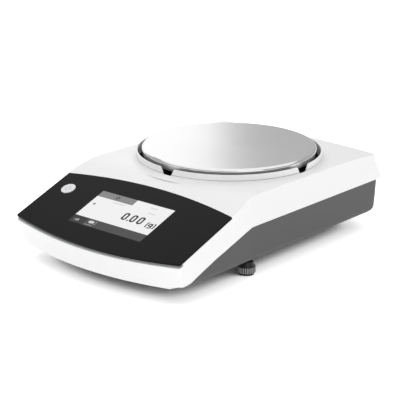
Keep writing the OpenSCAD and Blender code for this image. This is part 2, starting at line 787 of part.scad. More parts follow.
module load_cone() {
    color(steel)
    translate([0, pan_y, 0]) {
        translate([0, 0, receiver_z1 + 4]) cylinder(h = hub_bottom - receiver_z1 - 4, r = cone_r0 - run, $fn = 48);
        translate([0, 0, hub_bottom]) cylinder(h = cone_top - hub_bottom, r1 = cone_r0 - run, r2 = cone_r1 - run, $fn = 48);
    }
}

// Guides: thin plates, necked near both ends, that keep the receiver upright
neck_t = 0.7;
neck_l = 4;
module guide(z) {
    color(alloy)
    difference() {
        translate([-cell_half + 6, guide_from + slack, z]) cube([cell_w - 12, guide_l - 2 * slack, guide_t]);
        for (y = [guide_from + 3, guide_to - 3 - neck_l]) {
            translate([-cell_half, y, z + (guide_t + neck_t) / 2]) cube([cell_w, neck_l, guide_t]);
            translate([-cell_half, y, z - (guide_t + neck_t) / 2]) cube([cell_w, neck_l, guide_t]);
        }
        translate([-cell_half + 14, guide_from + 14, z - 1]) cube([cell_w - 28, guide_l - 28, guide_t + 2]);
    }
}
upper_guide_z = receiver_z1 - guide_t - 1;
lower_guide_z = receiver_z0 + 1;
module upper_guide() guide(upper_guide_z);
module lower_guide() guide(lower_guide_z);

// Fixed frame: a tower behind the guides, lugs, and side rails that carry the lever's fulcrum
fulcrum_y = guide_from + 16;
rail_t = 4;
fulcrum_r = 2;
tower_bore_x = cell_half * 0.62;
tower_bore_r = cell_half / 6;
tower_bore_z = 9;
module cell_frame() {
    color(alloy)
    difference() {
        union() {
            translate([-cell_half, guide_to, cell_z]) cube([cell_w, tower_back - guide_to, cell_h]);
            for (s = [-1, 1]) translate([s * (cell_half - rail_t / 2 + 0.5) - rail_t / 2, fulcrum_y - 10, cell_z])
                cube([rail_t, guide_to - fulcrum_y + 11, cell_h / 2 + 6]);
            for (p = cell_posts) translate([p[0] - lug / 2, p[1] - lug / 2, cell_z]) cube([lug, lug, lug_h]);
        }
        translate([-7, guide_to - 1, lever_z - 7]) cube([14, tower_back - guide_to + 2, 14]);
        translate([-big / 4, fulcrum_y, lever_z]) rotate([0, 90, 0]) cylinder(h = big / 2, r = fulcrum_r + run, $fn = 32);
        for (p = cell_posts) translate([p[0], p[1], cell_z - 1]) cylinder(h = lug_h + 2, r = pilot_r, $fn = 24);
        for (s = [-1, 1]) translate([s * tower_bore_x, guide_to - 1, cell_z + tower_bore_z])
            rotate([-90, 0, 0]) cylinder(h = through, r = tower_bore_r, $fn = 32);
    }
}

// Link: a thin strip that passes the load up to the lever's short arm
module coupling_link() {
    color(steel)
    translate([-link_w / 2 + 0.5, receiver_back + 3, lever_z - 7])
        cube([link_w - 1, 1.2, 7 - lever_h / 2 - slack]);
}

// Lever: a long arm on a cross pin, with the coil's yoke at its far end
coil_r = 13.6;
coil_t = 2.2;
coil_h = 13;
coil_top = lever_z - lever_h / 2;
module weigh_lever() {
    color(alloy)
    difference() {
        union() {
            translate([-5, receiver_back + 2, lever_z - lever_h / 2])
                cube([10, magnet_at + coil_r - receiver_back - 2, lever_h]);
            translate([0, magnet_at, coil_top]) cylinder(h = lever_h, r = coil_r, $fn = 64);
            translate([-cell_half + 0.5, fulcrum_y, lever_z]) rotate([0, 90, 0])
                cylinder(h = cell_w - 1, r = fulcrum_r, $fn = 32);
            translate([-0.5, magnet_at + coil_r - 1, lever_z - lever_h / 2]) cube([1, 6, lever_h]);
        }
        for (i = [0:2]) translate([0, fulcrum_y + 12 + 14 * i, lever_z - 10]) cylinder(h = 20, r = 3, $fn = 32);
    }
}

module coil() {
    color(brass)
    translate([0, magnet_at, coil_top - coil_h])
        difference() {
            cylinder(h = coil_h, r = coil_r, $fn = 64);
            translate([0, 0, -1]) cylinder(h = coil_h + 2, r = coil_r - coil_t, $fn = 64);
        }
}

// Magnet pot: an outer yoke, a floor and a centre pole, with the coil's gap between them
gap_out = coil_r + 1.3;
gap_in = coil_r - coil_t - 1.3;
pot_top = coil_top - 3.2;
module magnet_pot() {
    color("#8A8D90")
    translate([0, magnet_at, 0])
        difference() {
            translate([0, 0, floor_z]) cylinder(h = pot_top - floor_z, r = magnet_r, $fn = 96);
            translate([0, 0, floor_z + 4]) difference() {
                cylinder(h = 60, r = gap_out, $fn = 64);
                translate([0, 0, -1]) cylinder(h = 62, r = gap_in, $fn = 64);
            }
        }
}

// Slotted light gate that reads the lever's place
module position_sensor() {
    color("#2B2B2B")
    difference() {
        translate([-6, magnet_at + coil_r + 1.8, pot_top]) cube([12, 3.2, 12]);
        translate([-1.5, magnet_at + coil_r, pot_top + 1]) cube([3, 10, 20]);
    }
}

module fastener(shank, bite) {
    cylinder(h = screw_head_h, r = screw_head_r, $fn = 32);
    translate([0, 0, screw_head_h - eps]) cylinder(h = shank + bite - screw_head_h, r = screw_r, $fn = 24);
}

module cover_screws() {
    color(steel)
    for (p = screw_posts)
        translate([p[0], p[1], screw_join - screw_seat - screw_head_h]) fastener(screw_head_h + screw_seat, screw_bite);
}

module cell_screws() {
    color(steel)
    for (p = cell_posts)
        translate([p[0], p[1], cell_z - cell_seat - screw_head_h]) fastener(screw_head_h + cell_seat, lug_h - 1);
}

// Processor, choke and cable plug on the main board: places from its front left corner, and sizes
chip_at = [20, 18];
chip_size = [14, 14, 1.4];
choke_at = [10, 44];
choke_size = [10, 16, 8];
plug_l = 4;
plug_h = 5;
port_strip = 20;
module main_board() {
    color(board_green)
    difference() {
        union() {
            translate([board_x0, board_y0, board_z]) cube([board_x1 - board_x0, board_y1 - board_y0, board_t]);
            translate([board_x0, board_y1 - port_strip, board_z])
                cube([serial_x + serial_w / 2 - 0.5 - board_x0, port_strip, board_t]);
            translate([board_x0 + chip_at[0], board_y0 + chip_at[1], port_z]) cube(chip_size);
            translate([board_x0 + choke_at[0], board_y0 + choke_at[1], port_z]) cube(choke_size);
            translate([cable_x - 1, board_y0 + plug_l, port_z]) cube([cable_w + 2, plug_l, plug_h]);
        }
        for (p = board_posts) translate([p[0], p[1], board_z - 1])
            cylinder(h = board_t + 2, r = board_pilot_r + slack, $fn = 24);
    }
}

board_bite = 5;
module board_screws() {
    color(steel)
    for (p = board_posts) translate([p[0], p[1], 0]) {
        translate([0, 0, port_z]) cylinder(h = small_head_h, r = small_head_r, $fn = 32);
        translate([0, 0, board_z - board_bite])
            cylinder(h = board_bite + board_t + 0.5, r = board_pilot_r - run, $fn = 24);
    }
}

port_front = bay_y + 0.5;
module dc_jack() {
    color("#222222")
    difference() {
        translate([jack_x - jack_w / 2, port_front - 14, port_z]) cube([jack_w, 14, jack_h]);
        translate([jack_x, port_front - 10, port_z + jack_h / 2 + 0.6]) rotate([-90, 0, 0])
            difference() {
                cylinder(h = 12, r = 3.15, $fn = 40);
                cylinder(h = 9, r = 1, $fn = 24);
            }
    }
}

module usb_port() {
    color(steel)
    difference() {
        translate([usb_x - usb_w / 2, port_front - 16, port_z]) cube([usb_w, 16, usb_h]);
        translate([usb_x, port_front - 9, port_z + usb_h / 2]) {
            difference() {
                translate([-4.3, 0, -4]) cube([8.6, 10, 8]);
                translate([-2.8, -1, -1.6]) cube([5.6, 9, 3.2]);
            }
        }
    }
}

// Nine-pin socket: the shell's outline narrows downwards, and a hexagonal jackscrew stands on each side
shell_half_w = 8.5;
shell_half_h = 4.2;
shell_taper = 1.5;
shell_l = 4;
jackscrew_x = 12.5;
module shell_outline(inset) {
    w = shell_half_w - inset;
    h = shell_half_h - inset;
    polygon([[-w, -h], [w, -h], [w - shell_taper, h], [shell_taper - w, h]]);
}
module serial_port() {
    color(steel)
    difference() {
        union() {
            translate([serial_x - serial_w / 2, port_front - 12, port_z]) cube([serial_w, 10.5, serial_h]);
            translate([serial_x, port_front - 2, port_z + serial_h / 2]) rotate([-90, 0, 0])
                linear_extrude(shell_l) shell_outline(0);
            for (s = [-1, 1]) translate([serial_x + s * jackscrew_x, port_front - 2, port_z + serial_h / 2])
                rotate([-90, 0, 0]) cylinder(h = shell_l - 0.5, r = 2.4, $fn = 6);
        }
        translate([serial_x, port_front - 1, port_z + serial_h / 2]) rotate([-90, 0, 0])
            linear_extrude(shell_l) shell_outline(0.8);
    }
}

// Flat cable from the display board to the main board, run along the tray's floor
cable_w = 12;
cable_t = 0.8;
cable_x = board_x1 - 23;
board_low = -board_drop - board_t;
cable_top_y = glass_back_y + (screen_mid + 14) * cos(tilt) - (board_low - 0.4) * sin(tilt);
cable_top_z = slope_z(glass_back_y) + (screen_mid + 14) * sin(tilt) + (board_low - 0.4) * cos(tilt);
cable_line = [
    [cable_top_y, cable_top_z - 0.4],
    [cable_top_y, floor_z + 14],
    [cable_top_y + 8, floor_z + 8.5],
    [knee_y + 20, floor_z + 7.5],
    [board_y0 - 12, floor_z + 7.5],
    [board_y0 - 4, port_z + plug_h / 2],
    [board_y0 + plug_l - 0.4, port_z + plug_h / 2]];
module display_cable() {
    color("#C9C4B4")
    translate([cable_x, 0, 0])
        rotate([90, 0, 90])
            linear_extrude(cable_w)
                polygon(concat(cable_line, [for (i = [len(cable_line) - 1:-1:0])
                    cable_line[i] + [i < 3 ? cable_t : 0, i < 2 ? 0 : cable_t]]));
}

// Levelling feet: a rubber pad that swivels on the wheel's tip, and a knurled wheel with its threaded stud
hub_h = 5;
stud_top = boss_top - 4;
teeth = 40;
tooth = 0.35;
module foot_pad() {
    color(rubber)
    difference() {
        union() {
            cylinder(h = pad_h - 0.5, d = pad_d, $fn = 64);
            translate([0, 0, pad_h - 0.5 - eps]) cylinder(h = 0.5, d = pad_d - 1.2, $fn = 64);
        }
        translate([0, 0, pad_h - 1.2]) cylinder(h = 3, r = 2 + run, $fn = 32);
    }
}
module foot_wheel() {
    color("#2A2A2A") {
        translate([0, 0, pad_h + 0.1]) linear_extrude(wheel_h)
            polygon([for (i = [0:2 * teeth - 1]) let(a = 180 * i / teeth, r = wheel_d / 2 - (i % 2) * tooth)
                [r * cos(a), r * sin(a)]]);
        translate([0, 0, pad_h + wheel_h]) cylinder(h = hub_h, r1 = wheel_d / 2 - 0.8, r2 = wheel_d / 2 - 2.5, $fn = 64);
        translate([0, 0, pad_h - 1]) cylinder(h = 1.3, r = 2, $fn = 32);
        translate([0, 0, pad_h + wheel_h + hub_h - eps])
            cylinder(h = stud_top - pad_h - wheel_h - hub_h, d = stud_d, $fn = 48);
    }
}
module foot_pad_left() translate([-foot_x, foot_y, 0]) foot_pad();
module foot_pad_right() translate([foot_x, foot_y, 0]) foot_pad();
module foot_wheel_left() translate([-foot_x, foot_y, 0]) foot_wheel();
module foot_wheel_right() translate([foot_x, foot_y, 0]) foot_wheel();

// Rear feet: rubber plugs pressed into the tray's two pedestals
module rear_feet() {
    color(rubber)
    for (s = [-1, 1]) translate([s * rear_foot_x, rear_foot_y, 0]) {
        cylinder(h = 0.6, r = rear_foot_r - 0.6, $fn = 48);
        translate([0, 0, 0.6 - eps]) cylinder(h = pedestal_z + rear_seat - 0.6, r = rear_foot_r, $fn = 48);
    }
}

// Round level: a ring that drops into the deck, and its vial
module level_ring() {
    color(black)
    translate([level_at[0], level_at[1], level_deck - level_h]) {
        difference() {
            union() {
                cylinder(h = level_h + 0.8, r = level_r, $fn = 64);
                translate([0, 0, level_h]) cylinder(h = 0.8, r = level_r + level_flange, $fn = 64);
            }
            translate([0, 0, 1.5]) cylinder(h = 20, r = level_r - 1.4, $fn = 64);
        }
    }
}
module level_vial() {
    color("#B9D46A")
    translate([level_at[0], level_at[1], level_deck - level_h + 1.5])
        cylinder(h = level_h - 1.2, r = level_r - 1.4 - run, $fn = 64);
}

// Cover over the hook opening in the floor, turning on one screw
module hook_cover() {
    color(grey)
    difference() {
        union() {
            translate([0, pan_y, base_z - hook_cover_t - 0.1]) cylinder(h = hook_cover_t, r = hook_cover_r, $fn = 64);
            translate([0, pan_y - 5, base_z - hook_cover_t - 0.1]) cube([hook_pin_x, 10, hook_cover_t]);
            translate([hook_pin_x, pan_y, base_z - hook_cover_t - 0.1]) cylinder(h = hook_cover_t, r = 5, $fn = 40);
        }
        translate([hook_pin_x, pan_y, base_z - 10]) cylinder(h = 20, r = screw_r + run, $fn = 32);
    }
}
module hook_screw() {
    color(steel)
    translate([hook_pin_x, pan_y, base_z - hook_cover_t - 0.2 - screw_head_h]) {
        cylinder(h = screw_head_h, r = screw_head_r + 0.6, $fn = 32);
        cylinder(h = screw_head_h + hook_cover_t + base_wall + 2, r = screw_r, $fn = 32);
    }
}

base_housing();
top_cover();
display_glass();
display_trim();
display_module();
display_frame();
display_board();
frame_screws();
power_button();
button_switch();
weighing_pan();
pan_support();
support_pads();
well_tray();
load_cone();
load_receiver();
upper_guide();
lower_guide();
cell_frame();
coupling_link();
weigh_lever();
coil();
magnet_pot();
position_sensor();
cell_screws();
main_board();
board_screws();
dc_jack();
usb_port();
serial_port();
display_cable();
foot_pad_left();
foot_pad_right();
foot_wheel_left();
foot_wheel_right();
rear_feet();
level_ring();
level_vial();
hook_cover();
hook_screw();
cover_screws();
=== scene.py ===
"""A precision balance with a round steel pan and a tilted touch panel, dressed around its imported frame."""
import logging
import math
from collections.abc import Sequence
from dataclasses import dataclass, replace
from enum import Enum

import bmesh
import bpy
from mathutils import Matrix, Vector


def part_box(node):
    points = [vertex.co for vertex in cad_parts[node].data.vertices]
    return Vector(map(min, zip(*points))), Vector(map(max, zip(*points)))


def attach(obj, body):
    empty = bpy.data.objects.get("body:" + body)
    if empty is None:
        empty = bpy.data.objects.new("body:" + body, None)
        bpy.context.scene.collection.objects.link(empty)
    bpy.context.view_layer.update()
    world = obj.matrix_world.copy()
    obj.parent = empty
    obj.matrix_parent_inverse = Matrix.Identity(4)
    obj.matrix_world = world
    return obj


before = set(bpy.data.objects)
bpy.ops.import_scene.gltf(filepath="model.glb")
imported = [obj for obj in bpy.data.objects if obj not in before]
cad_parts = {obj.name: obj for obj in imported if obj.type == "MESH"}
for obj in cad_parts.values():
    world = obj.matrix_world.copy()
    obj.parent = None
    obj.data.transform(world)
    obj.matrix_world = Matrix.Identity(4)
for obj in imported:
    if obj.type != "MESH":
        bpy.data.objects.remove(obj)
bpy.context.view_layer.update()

LOG = logging.getLogger("balance")
MM = 0.001
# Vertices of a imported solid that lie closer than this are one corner
JOINED = 0.002 * MM
Point = tuple[float, float]
Point3 = tuple[float, float, float]


def linear(code: str) -> tuple[float, float, float, float]:
    """Turn an sRGB hex colour into linear light.

    Args:
        code: six hex digits, with or without a leading hash.

    Returns:
        Red, green, blue and an alpha of one.
    """
    digits = code.lstrip("#")
    parts = [int(digits[i:i + 2], 16) / 255 for i in (0, 2, 4)]
    red, green, blue = (p / 12.92 if p <= 0.04045 else ((p + 0.055) / 1.055) ** 2.4 for p in parts)
    return red, green, blue, 1.0


def add(tree: bpy.types.NodeTree, kind: str, settings: dict | None = None,
        links: dict | None = None) -> bpy.types.Node:
    """Add a node with its settings and its incoming links.

    Args:
        tree: the node tree that takes the node.
        kind: the node's type name.
        settings: attributes by name, or input values by input name or index.
        links: output sockets by the name or index of the input that they feed.

    Returns:
        The new node.
    """
    node = tree.nodes.new(kind)
    for key, value in (settings or {}).items():
        if isinstance(key, int) or key in node.inputs:
            node.inputs[key].default_value = value
        else:
            setattr(node, key, value)
    for key, socket in (links or {}).items():
        tree.links.new(socket, node.inputs[key])
    return node


def about(tree: bpy.types.NodeTree, place: bpy.types.NodeSocket, middle: Point) -> bpy.types.Node:
    """Measure a place from an upright axis.

    Args:
        tree: the material's nodes.
        place: the place on the object, in metres.
        middle: where the axis stands.

    Returns:
        A node whose outputs X and Y are measured from the axis, and Z from the table.
    """
    offset = add(tree, "ShaderNodeVectorMath", {"operation": "SUBTRACT", 1: (*middle, 0.0)}, {0: place})
    return add(tree, "ShaderNodeSeparateXYZ", {}, {0: offset.outputs[0]})


def distance(tree: bpy.types.NodeTree, parts: bpy.types.Node) -> bpy.types.NodeSocket:
    """Measure how far a place is from its axis.

    Args:
        tree: the material's nodes.
        parts: the node that about() gives.

    Returns:
        The socket with the distance in metres.
    """
    flat = add(tree, "ShaderNodeCombineXYZ", {}, {"X": parts.outputs["X"], "Y": parts.outputs["Y"]})
    return add(tree, "ShaderNodeVectorMath", {"operation": "LENGTH"}, {0: flat.outputs[0]}).outputs["Value"]


@dataclass(frozen=True)
class Finish:
    """A surface finish, from what the real surface is made of.

    The grain is the size in millimetres of the texture that the surface was given, and the depth is how far it
    goes in. Uneven and drift are the shares by which its colour and its roughness wander.
    """

    name: str
    colour: str
    roughness: float
    metallic: float = 0.0
    ior: float = 1.5
    specular: float = 0.5
    coat: float = 0.0
    coat_roughness: float = 0.08
    anisotropy: float = 0.0
    grain_mm: float = 0.6
    depth_mm: float = 0.01
    uneven: float = 0.03
    uneven_mm: float = 45.0
    drift: float = 0.07

    def material(self) -> bpy.types.Material:
        """Make the material, once for each name.

        Returns:
            The material.
        """
        known = bpy.data.materials.get(self.name)
        if known:
            return known
        made = bpy.data.materials.new(self.name)
        made.use_nodes = True
        tree = made.node_tree
        tree.nodes.clear()
        shader = add(tree, "ShaderNodeBsdfPrincipled",
                     {"Metallic": self.metallic, "Roughness": self.roughness})
        if self.metallic < 0.5:
            shader.inputs["IOR"].default_value = self.ior
            shader.inputs["Specular IOR Level"].default_value = self.specular
        if self.coat:
            shader.inputs["Coat Weight"].default_value = self.coat
            shader.inputs["Coat Roughness"].default_value = self.coat_roughness
        if self.anisotropy:
            shader.inputs["Anisotropic"].default_value = self.anisotropy
        place = add(tree, "ShaderNodeTexCoord").outputs["Object"]
        self.paint(tree, shader, place)
        add(tree, "ShaderNodeOutputMaterial", {}, {"Surface": shader.outputs["BSDF"]})
        return made

    def paint(self, tree: bpy.types.NodeTree, shader: bpy.types.Node, place: bpy.types.NodeSocket) -> None:
        """Link colour, roughness and relief to the shader.

        Args:
            tree: the material's nodes.
            shader: the surface shader.
            place: the place on the object, in metres.
        """
        self.tone(tree, shader, place, self.colour)
        self.relief(tree, shader, place)

    def tone(self, tree: bpy.types.NodeTree, shader: bpy.types.Node, place: bpy.types.NodeSocket,
             colour: str) -> None:
        """Let colour and roughness drift slightly over tens of millimetres, as on any made surface.

        Args:
            tree: the material's nodes.
            shader: the surface shader.
            place: the place on the object, in metres.
            colour: the mean colour.
        """
        cloud = add(tree, "ShaderNodeTexNoise", {"Scale": 1 / (self.uneven_mm * MM), "Detail": 3.0},
                    {"Vector": place})
        base = linear(colour)
        low = tuple(c * (1 - self.uneven) for c in base[:3]) + (1.0,)
        high = tuple(min(1.0, c * (1 + self.uneven)) for c in base[:3]) + (1.0,)
        mixed = add(tree, "ShaderNodeMix", {"data_type": "RGBA", 6: low, 7: high}, {0: cloud.outputs["Fac"]})
        tree.links.new(mixed.outputs[2], shader.inputs["Base Color"])
        gloss = add(tree, "ShaderNodeMapRange",
                    {"To Min": self.roughness * (1 - self.drift), "To Max": self.roughness * (1 + self.drift)},
                    {"Value": cloud.outputs["Fac"]})
        tree.links.new(gloss.outputs["Result"], shader.inputs["Roughness"])

    def relief(self, tree: bpy.types.NodeTree, shader: bpy.types.Node, place: bpy.types.NodeSocket) -> None:
        """Give the surface its fine grain, one cell of noise for each grain.

        Args:
            tree: the material's nodes.
            shader: the surface shader.
            place: the place on the object, in metres.
        """
        grain = add(tree, "ShaderNodeTexNoise", {"Scale": 1 / (self.grain_mm * MM), "Detail": 2.0},
                    {"Vector": place})
        bump = add(tree, "ShaderNodeBump", {"Strength": 1.0, "Distance": self.depth_mm * MM},
                   {"Height": grain.outputs["Fac"]})
        tree.links.new(bump.outputs["Normal"], shader.inputs["Normal"])


@dataclass(frozen=True)
class MouldedCover(Finish):
    """Moulded ABS, with a line of painted shade round the collar's foot, where its wall turns into the fillet, sunk a
    little into the relief.

    The line runs at one height round the pan's middle, and only within the foot's radius.
    """

    middle: Point = (0.0, 0.03512)
    foot_radius: float = 0.1
    line_height: float = 0.0851
    line_mm: float = 0.55
    # Tone of the painted shade along the crease at the collar's foot
    crease_shade_tone: str = "#A2A2A2"
    sink_mm: float = 0.15

    def paint(self, tree: bpy.types.NodeTree, shader: bpy.types.Node, place: bpy.types.NodeSocket) -> None:
        """Dress the cover, then darken the line where the collar's wall turns into its foot with painted shade, and
        sink it.

        Args:
            tree: the material's nodes.
            shader: the surface shader.
            place: the place on the object, in metres.
        """
        super().paint(tree, shader, place)
        skin = shader.inputs["Base Color"].links[0].from_socket
        grain = shader.inputs["Normal"].links[0].from_socket
        parts = about(tree, place, self.middle)
        inside = add(tree, "ShaderNodeMath", {"operation": "LESS_THAN", 1: self.foot_radius},
                     {0: distance(tree, parts)})
        line = add(tree, "ShaderNodeMath",
                   {"operation": "COMPARE", 1: self.line_height, 2: self.line_mm / 2 * MM},
                   {0: parts.outputs["Z"]})
        mask = add(tree, "ShaderNodeMath", {"operation": "MULTIPLY"}, {0: line.outputs[0], 1: inside.outputs[0]})
        # Painted shade: the line is darkened where the collar's wall meets its fillet
        mixed = add(tree, "ShaderNodeMix", {"data_type": "RGBA", 7: linear(self.crease_shade_tone)},
                    {0: mask.outputs[0], 6: skin})
        tree.links.new(mixed.outputs[2], shader.inputs["Base Color"])
        sunk = add(tree, "ShaderNodeBump", {"Strength": 1.0, "Distance": -self.sink_mm * MM},
                   {"Height": mask.outputs[0], "Normal": grain})
        tree.links.new(sunk.outputs["Normal"], shader.inputs["Normal"])


@dataclass(frozen=True)
class KnurledWheel(Finish):
    """A moulded nylon wheel: a knurled band drawn in pale stripes, painted highlights on its lit crests, under a
    smooth black hub.
    """

    middle: Point = (0.0, 0.0)
    band_top: float = 0.0082
    # Colour of the painted highlights on the knurl's crests
    crest_highlight: str = "#9C9D9F"
    stripes: float = 24.0
    valley: float = -0.6
    crest: float = 0.8

    def paint(self, tree: bpy.types.NodeTree, shader: bpy.types.Node, place: bpy.types.NodeSocket) -> None:
        """Stripe the band with painted highlights by its angle round the stud, and leave the hub dark.

        Args:
            tree: the material's nodes.
            shader: the surface shader.
            place: the place on the object, in metres.
        """
        parts = about(tree, place, self.middle)
        turn = add(tree, "ShaderNodeMath", {"operation": "ARCTAN2"},
                   {0: parts.outputs["Y"], 1: parts.outputs["X"]})
        # The knurl has forty teeth, 1.4 mm apart. The painted highlight stripes are 2.4 mm apart, so that they show
        # in the render
        swing = add(tree, "ShaderNodeMath", {"operation": "MULTIPLY", 1: self.stripes}, {0: turn.outputs[0]})
        wave = add(tree, "ShaderNodeMath", {"operation": "SINE"}, {0: swing.outputs[0]})
        ridge = add(tree, "ShaderNodeMapRange", {"From Min": self.valley, "From Max": self.crest},
                    {"Value": wave.outputs[0]})
        low = add(tree, "ShaderNodeMath", {"operation": "LESS_THAN", 1: self.band_top},
                  {0: parts.outputs["Z"]})
        mask = add(tree, "ShaderNodeMath", {"operation": "MULTIPLY"},
                   {0: ridge.outputs["Result"], 1: low.outputs[0]})
        # Painted highlight: pale stripes stand in for light on the knurl's crests
        mixed = add(tree, "ShaderNodeMix",
                    {"data_type": "RGBA", 6: linear(self.colour), 7: linear(self.crest_highlight)}, {0: mask.outputs[0]})
        tree.links.new(mixed.outputs[2], shader.inputs["Base Color"])
        self.relief(tree, shader, place)


@dataclass(frozen=True)
class SpunSteel(Finish):
    """Stainless steel sheet, pressed and spun: a circular satin face, a polished rim and a satin skirt."""

    middle: Point = (0.0, 0.0)
    face_height: float = 0.0945
    groove_mm: float = 1.4
    groove_gloss: float = 0.03
    groove_dark: float = 0.97
    groove_bright: float = 1.02
    rim_roughness: float = 0.09
    skirt_roughness: float = 0.6
    skirt_height: float = 0.0922
    skirt_blend_mm: float = 1.2

    def paint(self, tree: bpy.types.NodeTree, shader: bpy.types.Node, place: bpy.types.NodeSocket) -> None:
        """Draw fine rings round the pan's middle on its face, polish its rim and leave its skirt satin.

        Args:
            tree: the material's nodes.
            shader: the surface shader.
            place: the place on the object, in metres.
        """
        parts = about(tree, place, self.middle)
        # Polishing rings of hundredths of a millimetre, drawn as wide as the render can show
        rings = add(tree, "ShaderNodeTexNoise",
                    {"noise_dimensions": "1D", "Scale": 1 / (self.groove_mm * MM), "Detail": 4.0},
                    {"W": distance(tree, parts)})
        face = add(tree, "ShaderNodeMath", {"operation": "GREATER_THAN", 1: self.face_height},
                   {0: parts.outputs["Z"]})
        gloss = add(tree, "ShaderNodeMapRange",
                    {"To Min": self.roughness - self.groove_gloss, "To Max": self.roughness + self.groove_gloss},
                    {"Value": rings.outputs["Fac"]})
        edge = add(tree, "ShaderNodeMapRange",
                   {"From Min": self.skirt_height - self.skirt_blend_mm * MM, "From Max": self.skirt_height,
                    "To Min": self.skirt_roughness, "To Max": self.rim_roughness}, {"Value": parts.outputs["Z"]})
        rough = add(tree, "ShaderNodeMix", {"data_type": "FLOAT"},
                    {0: face.outputs[0], 2: edge.outputs["Result"], 3: gloss.outputs["Result"]})
        tree.links.new(rough.outputs[0], shader.inputs["Roughness"])
        base = linear(self.colour)
        dark = tuple(c * self.groove_dark for c in base[:3]) + (1.0,)
        bright = tuple(min(1.0, c * self.groove_bright) for c in base[:3]) + (1.0,)
        tint = add(tree, "ShaderNodeMix", {"data_type": "RGBA", 6: dark, 7: bright}, {0: rings.outputs["Fac"]})
        tree.links.new(tint.outputs[2], shader.inputs["Base Color"])
        height = add(tree, "ShaderNodeMath", {"operation": "MULTIPLY"},
                     {0: rings.outputs["Fac"], 1: face.outputs[0]})
        bump = add(tree, "ShaderNodeBump", {"Strength": 1.0, "Distance": self.depth_mm * MM},
                   {"Height": height.outputs[0]})
        tree.links.new(bump.outputs["Normal"], shader.inputs["Normal"])
        spin = add(tree, "ShaderNodeTangent", {"direction_type": "RADIAL", "axis": "Z"})
        tree.links.new(spin.outputs["Tangent"], shader.inputs["Tangent"])


@dataclass(frozen=True)
class BrushedMetal(Finish):
    """Milled or brushed metal: long fine lines along one direction."""

    along: Point3 = (0.04, 1.0, 1.0)
    line_mm: float = 0.7
    brighter: float = 0.06
    duller: float = 0.08

    def paint(self, tree: bpy.types.NodeTree, shader: bpy.types.Node, place: bpy.types.NodeSocket) -> None:
        """Stretch the noise along the tool's path, so that it reads as cutter lines.

        Args:
            tree: the material's nodes.
            shader: the surface shader.
            place: the place on the object, in metres.
        """
        scaled = add(tree, "ShaderNodeVectorMath", {"operation": "MULTIPLY", 1: self.along}, {0: place})
        lines = add(tree, "ShaderNodeTexNoise", {"Scale": 1 / (self.line_mm * MM), "Detail": 3.0},
                    {"Vector": scaled.outputs[0]})
        self.tone(tree, shader, place, self.colour)
        gloss = add(tree, "ShaderNodeMapRange",
                    {"To Min": self.roughness - self.brighter, "To Max": self.roughness + self.duller},
                    {"Value": lines.outputs["Fac"]})
        tree.links.new(gloss.outputs["Result"], shader.inputs["Roughness"])
        bump = add(tree, "ShaderNodeBump", {"Strength": 1.0, "Distance": self.depth_mm * MM},
                   {"Height": lines.outputs["Fac"]})
        tree.links.new(bump.outputs["Normal"], shader.inputs["Normal"])


@dataclass(frozen=True)
class Backlit(Finish):
    """A liquid crystal display lit from behind, with the faint unevenness of its light guide."""

    unlit: str = "#141414"
    glow: float = 0.96
    dimmest: float = 0.985

    def paint(self, tree: bpy.types.NodeTree, shader: bpy.types.Node, place: bpy.types.NodeSocket) -> None:
        """Light the dark surface in its own colour, a little stronger and weaker over the light guide.

        Args:
            tree: the material's nodes.
            shader: the surface shader.
            place: the place on the object, in metres.
        """
        self.tone(tree, shader, place, self.unlit)
        cloud = add(tree, "ShaderNodeTexNoise", {"Scale": 1 / (self.uneven_mm * MM), "Detail": 1.0},
                    {"Vector": place})
        base = linear(self.colour)
        dim = tuple(c * self.dimmest for c in base[:3]) + (1.0,)
        light = add(tree, "ShaderNodeMix", {"data_type": "RGBA", 6: dim, 7: base}, {0: cloud.outputs["Fac"]})
        tree.links.new(light.outputs[2], shader.inputs["Emission Color"])
        shader.inputs["Emission Strength"].default_value = self.glow


@dataclass(frozen=True)
class LitTable(Finish):
    """A white acrylic table with some light behind it, as product photographers use, and a painted shadow where its
    glow is dimmed round what stands on it.

    Of the room within reach, a place on the table sees some share. Up to the shut share it stays dark, and from the
    clear share on it glows in full.
    """

    glow: float = 0.48
    reach: float = 0.12
    shut: float = 0.11
    clear: float = 0.22
    samples: int = 32

    def paint(self, tree: bpy.types.NodeTree, shader: bpy.types.Node, place: bpy.types.NodeSocket) -> None:
        """Let the table shine a little, and less where what stands on it shuts off the room: a painted shadow round
        it.

        Args:
            tree: the material's nodes.
            shader: the surface shader.
            place: the place on the object, in metres.
        """
        self.tone(tree, shader, place, self.colour)
        # Painted shadow: the glow is dimmed by ambient occlusion near what stands on the table
        free = add(tree, "ShaderNodeAmbientOcclusion", {"samples": self.samples, "Distance": self.reach})
        share = add(tree, "ShaderNodeMapRange", {"From Min": self.shut, "From Max": self.clear},
                    {"Value": free.outputs["AO"]})
        shine = add(tree, "ShaderNodeMath", {"operation": "SQRT"}, {0: share.outputs["Result"]})
        level = add(tree, "ShaderNodeMath", {"operation": "MULTIPLY", 1: self.glow}, {0: shine.outputs[0]})
        shader.inputs["Emission Color"].default_value = (1.0, 1.0, 1.0, 1.0)
        tree.links.new(level.outputs[0], shader.inputs["Emission Strength"])


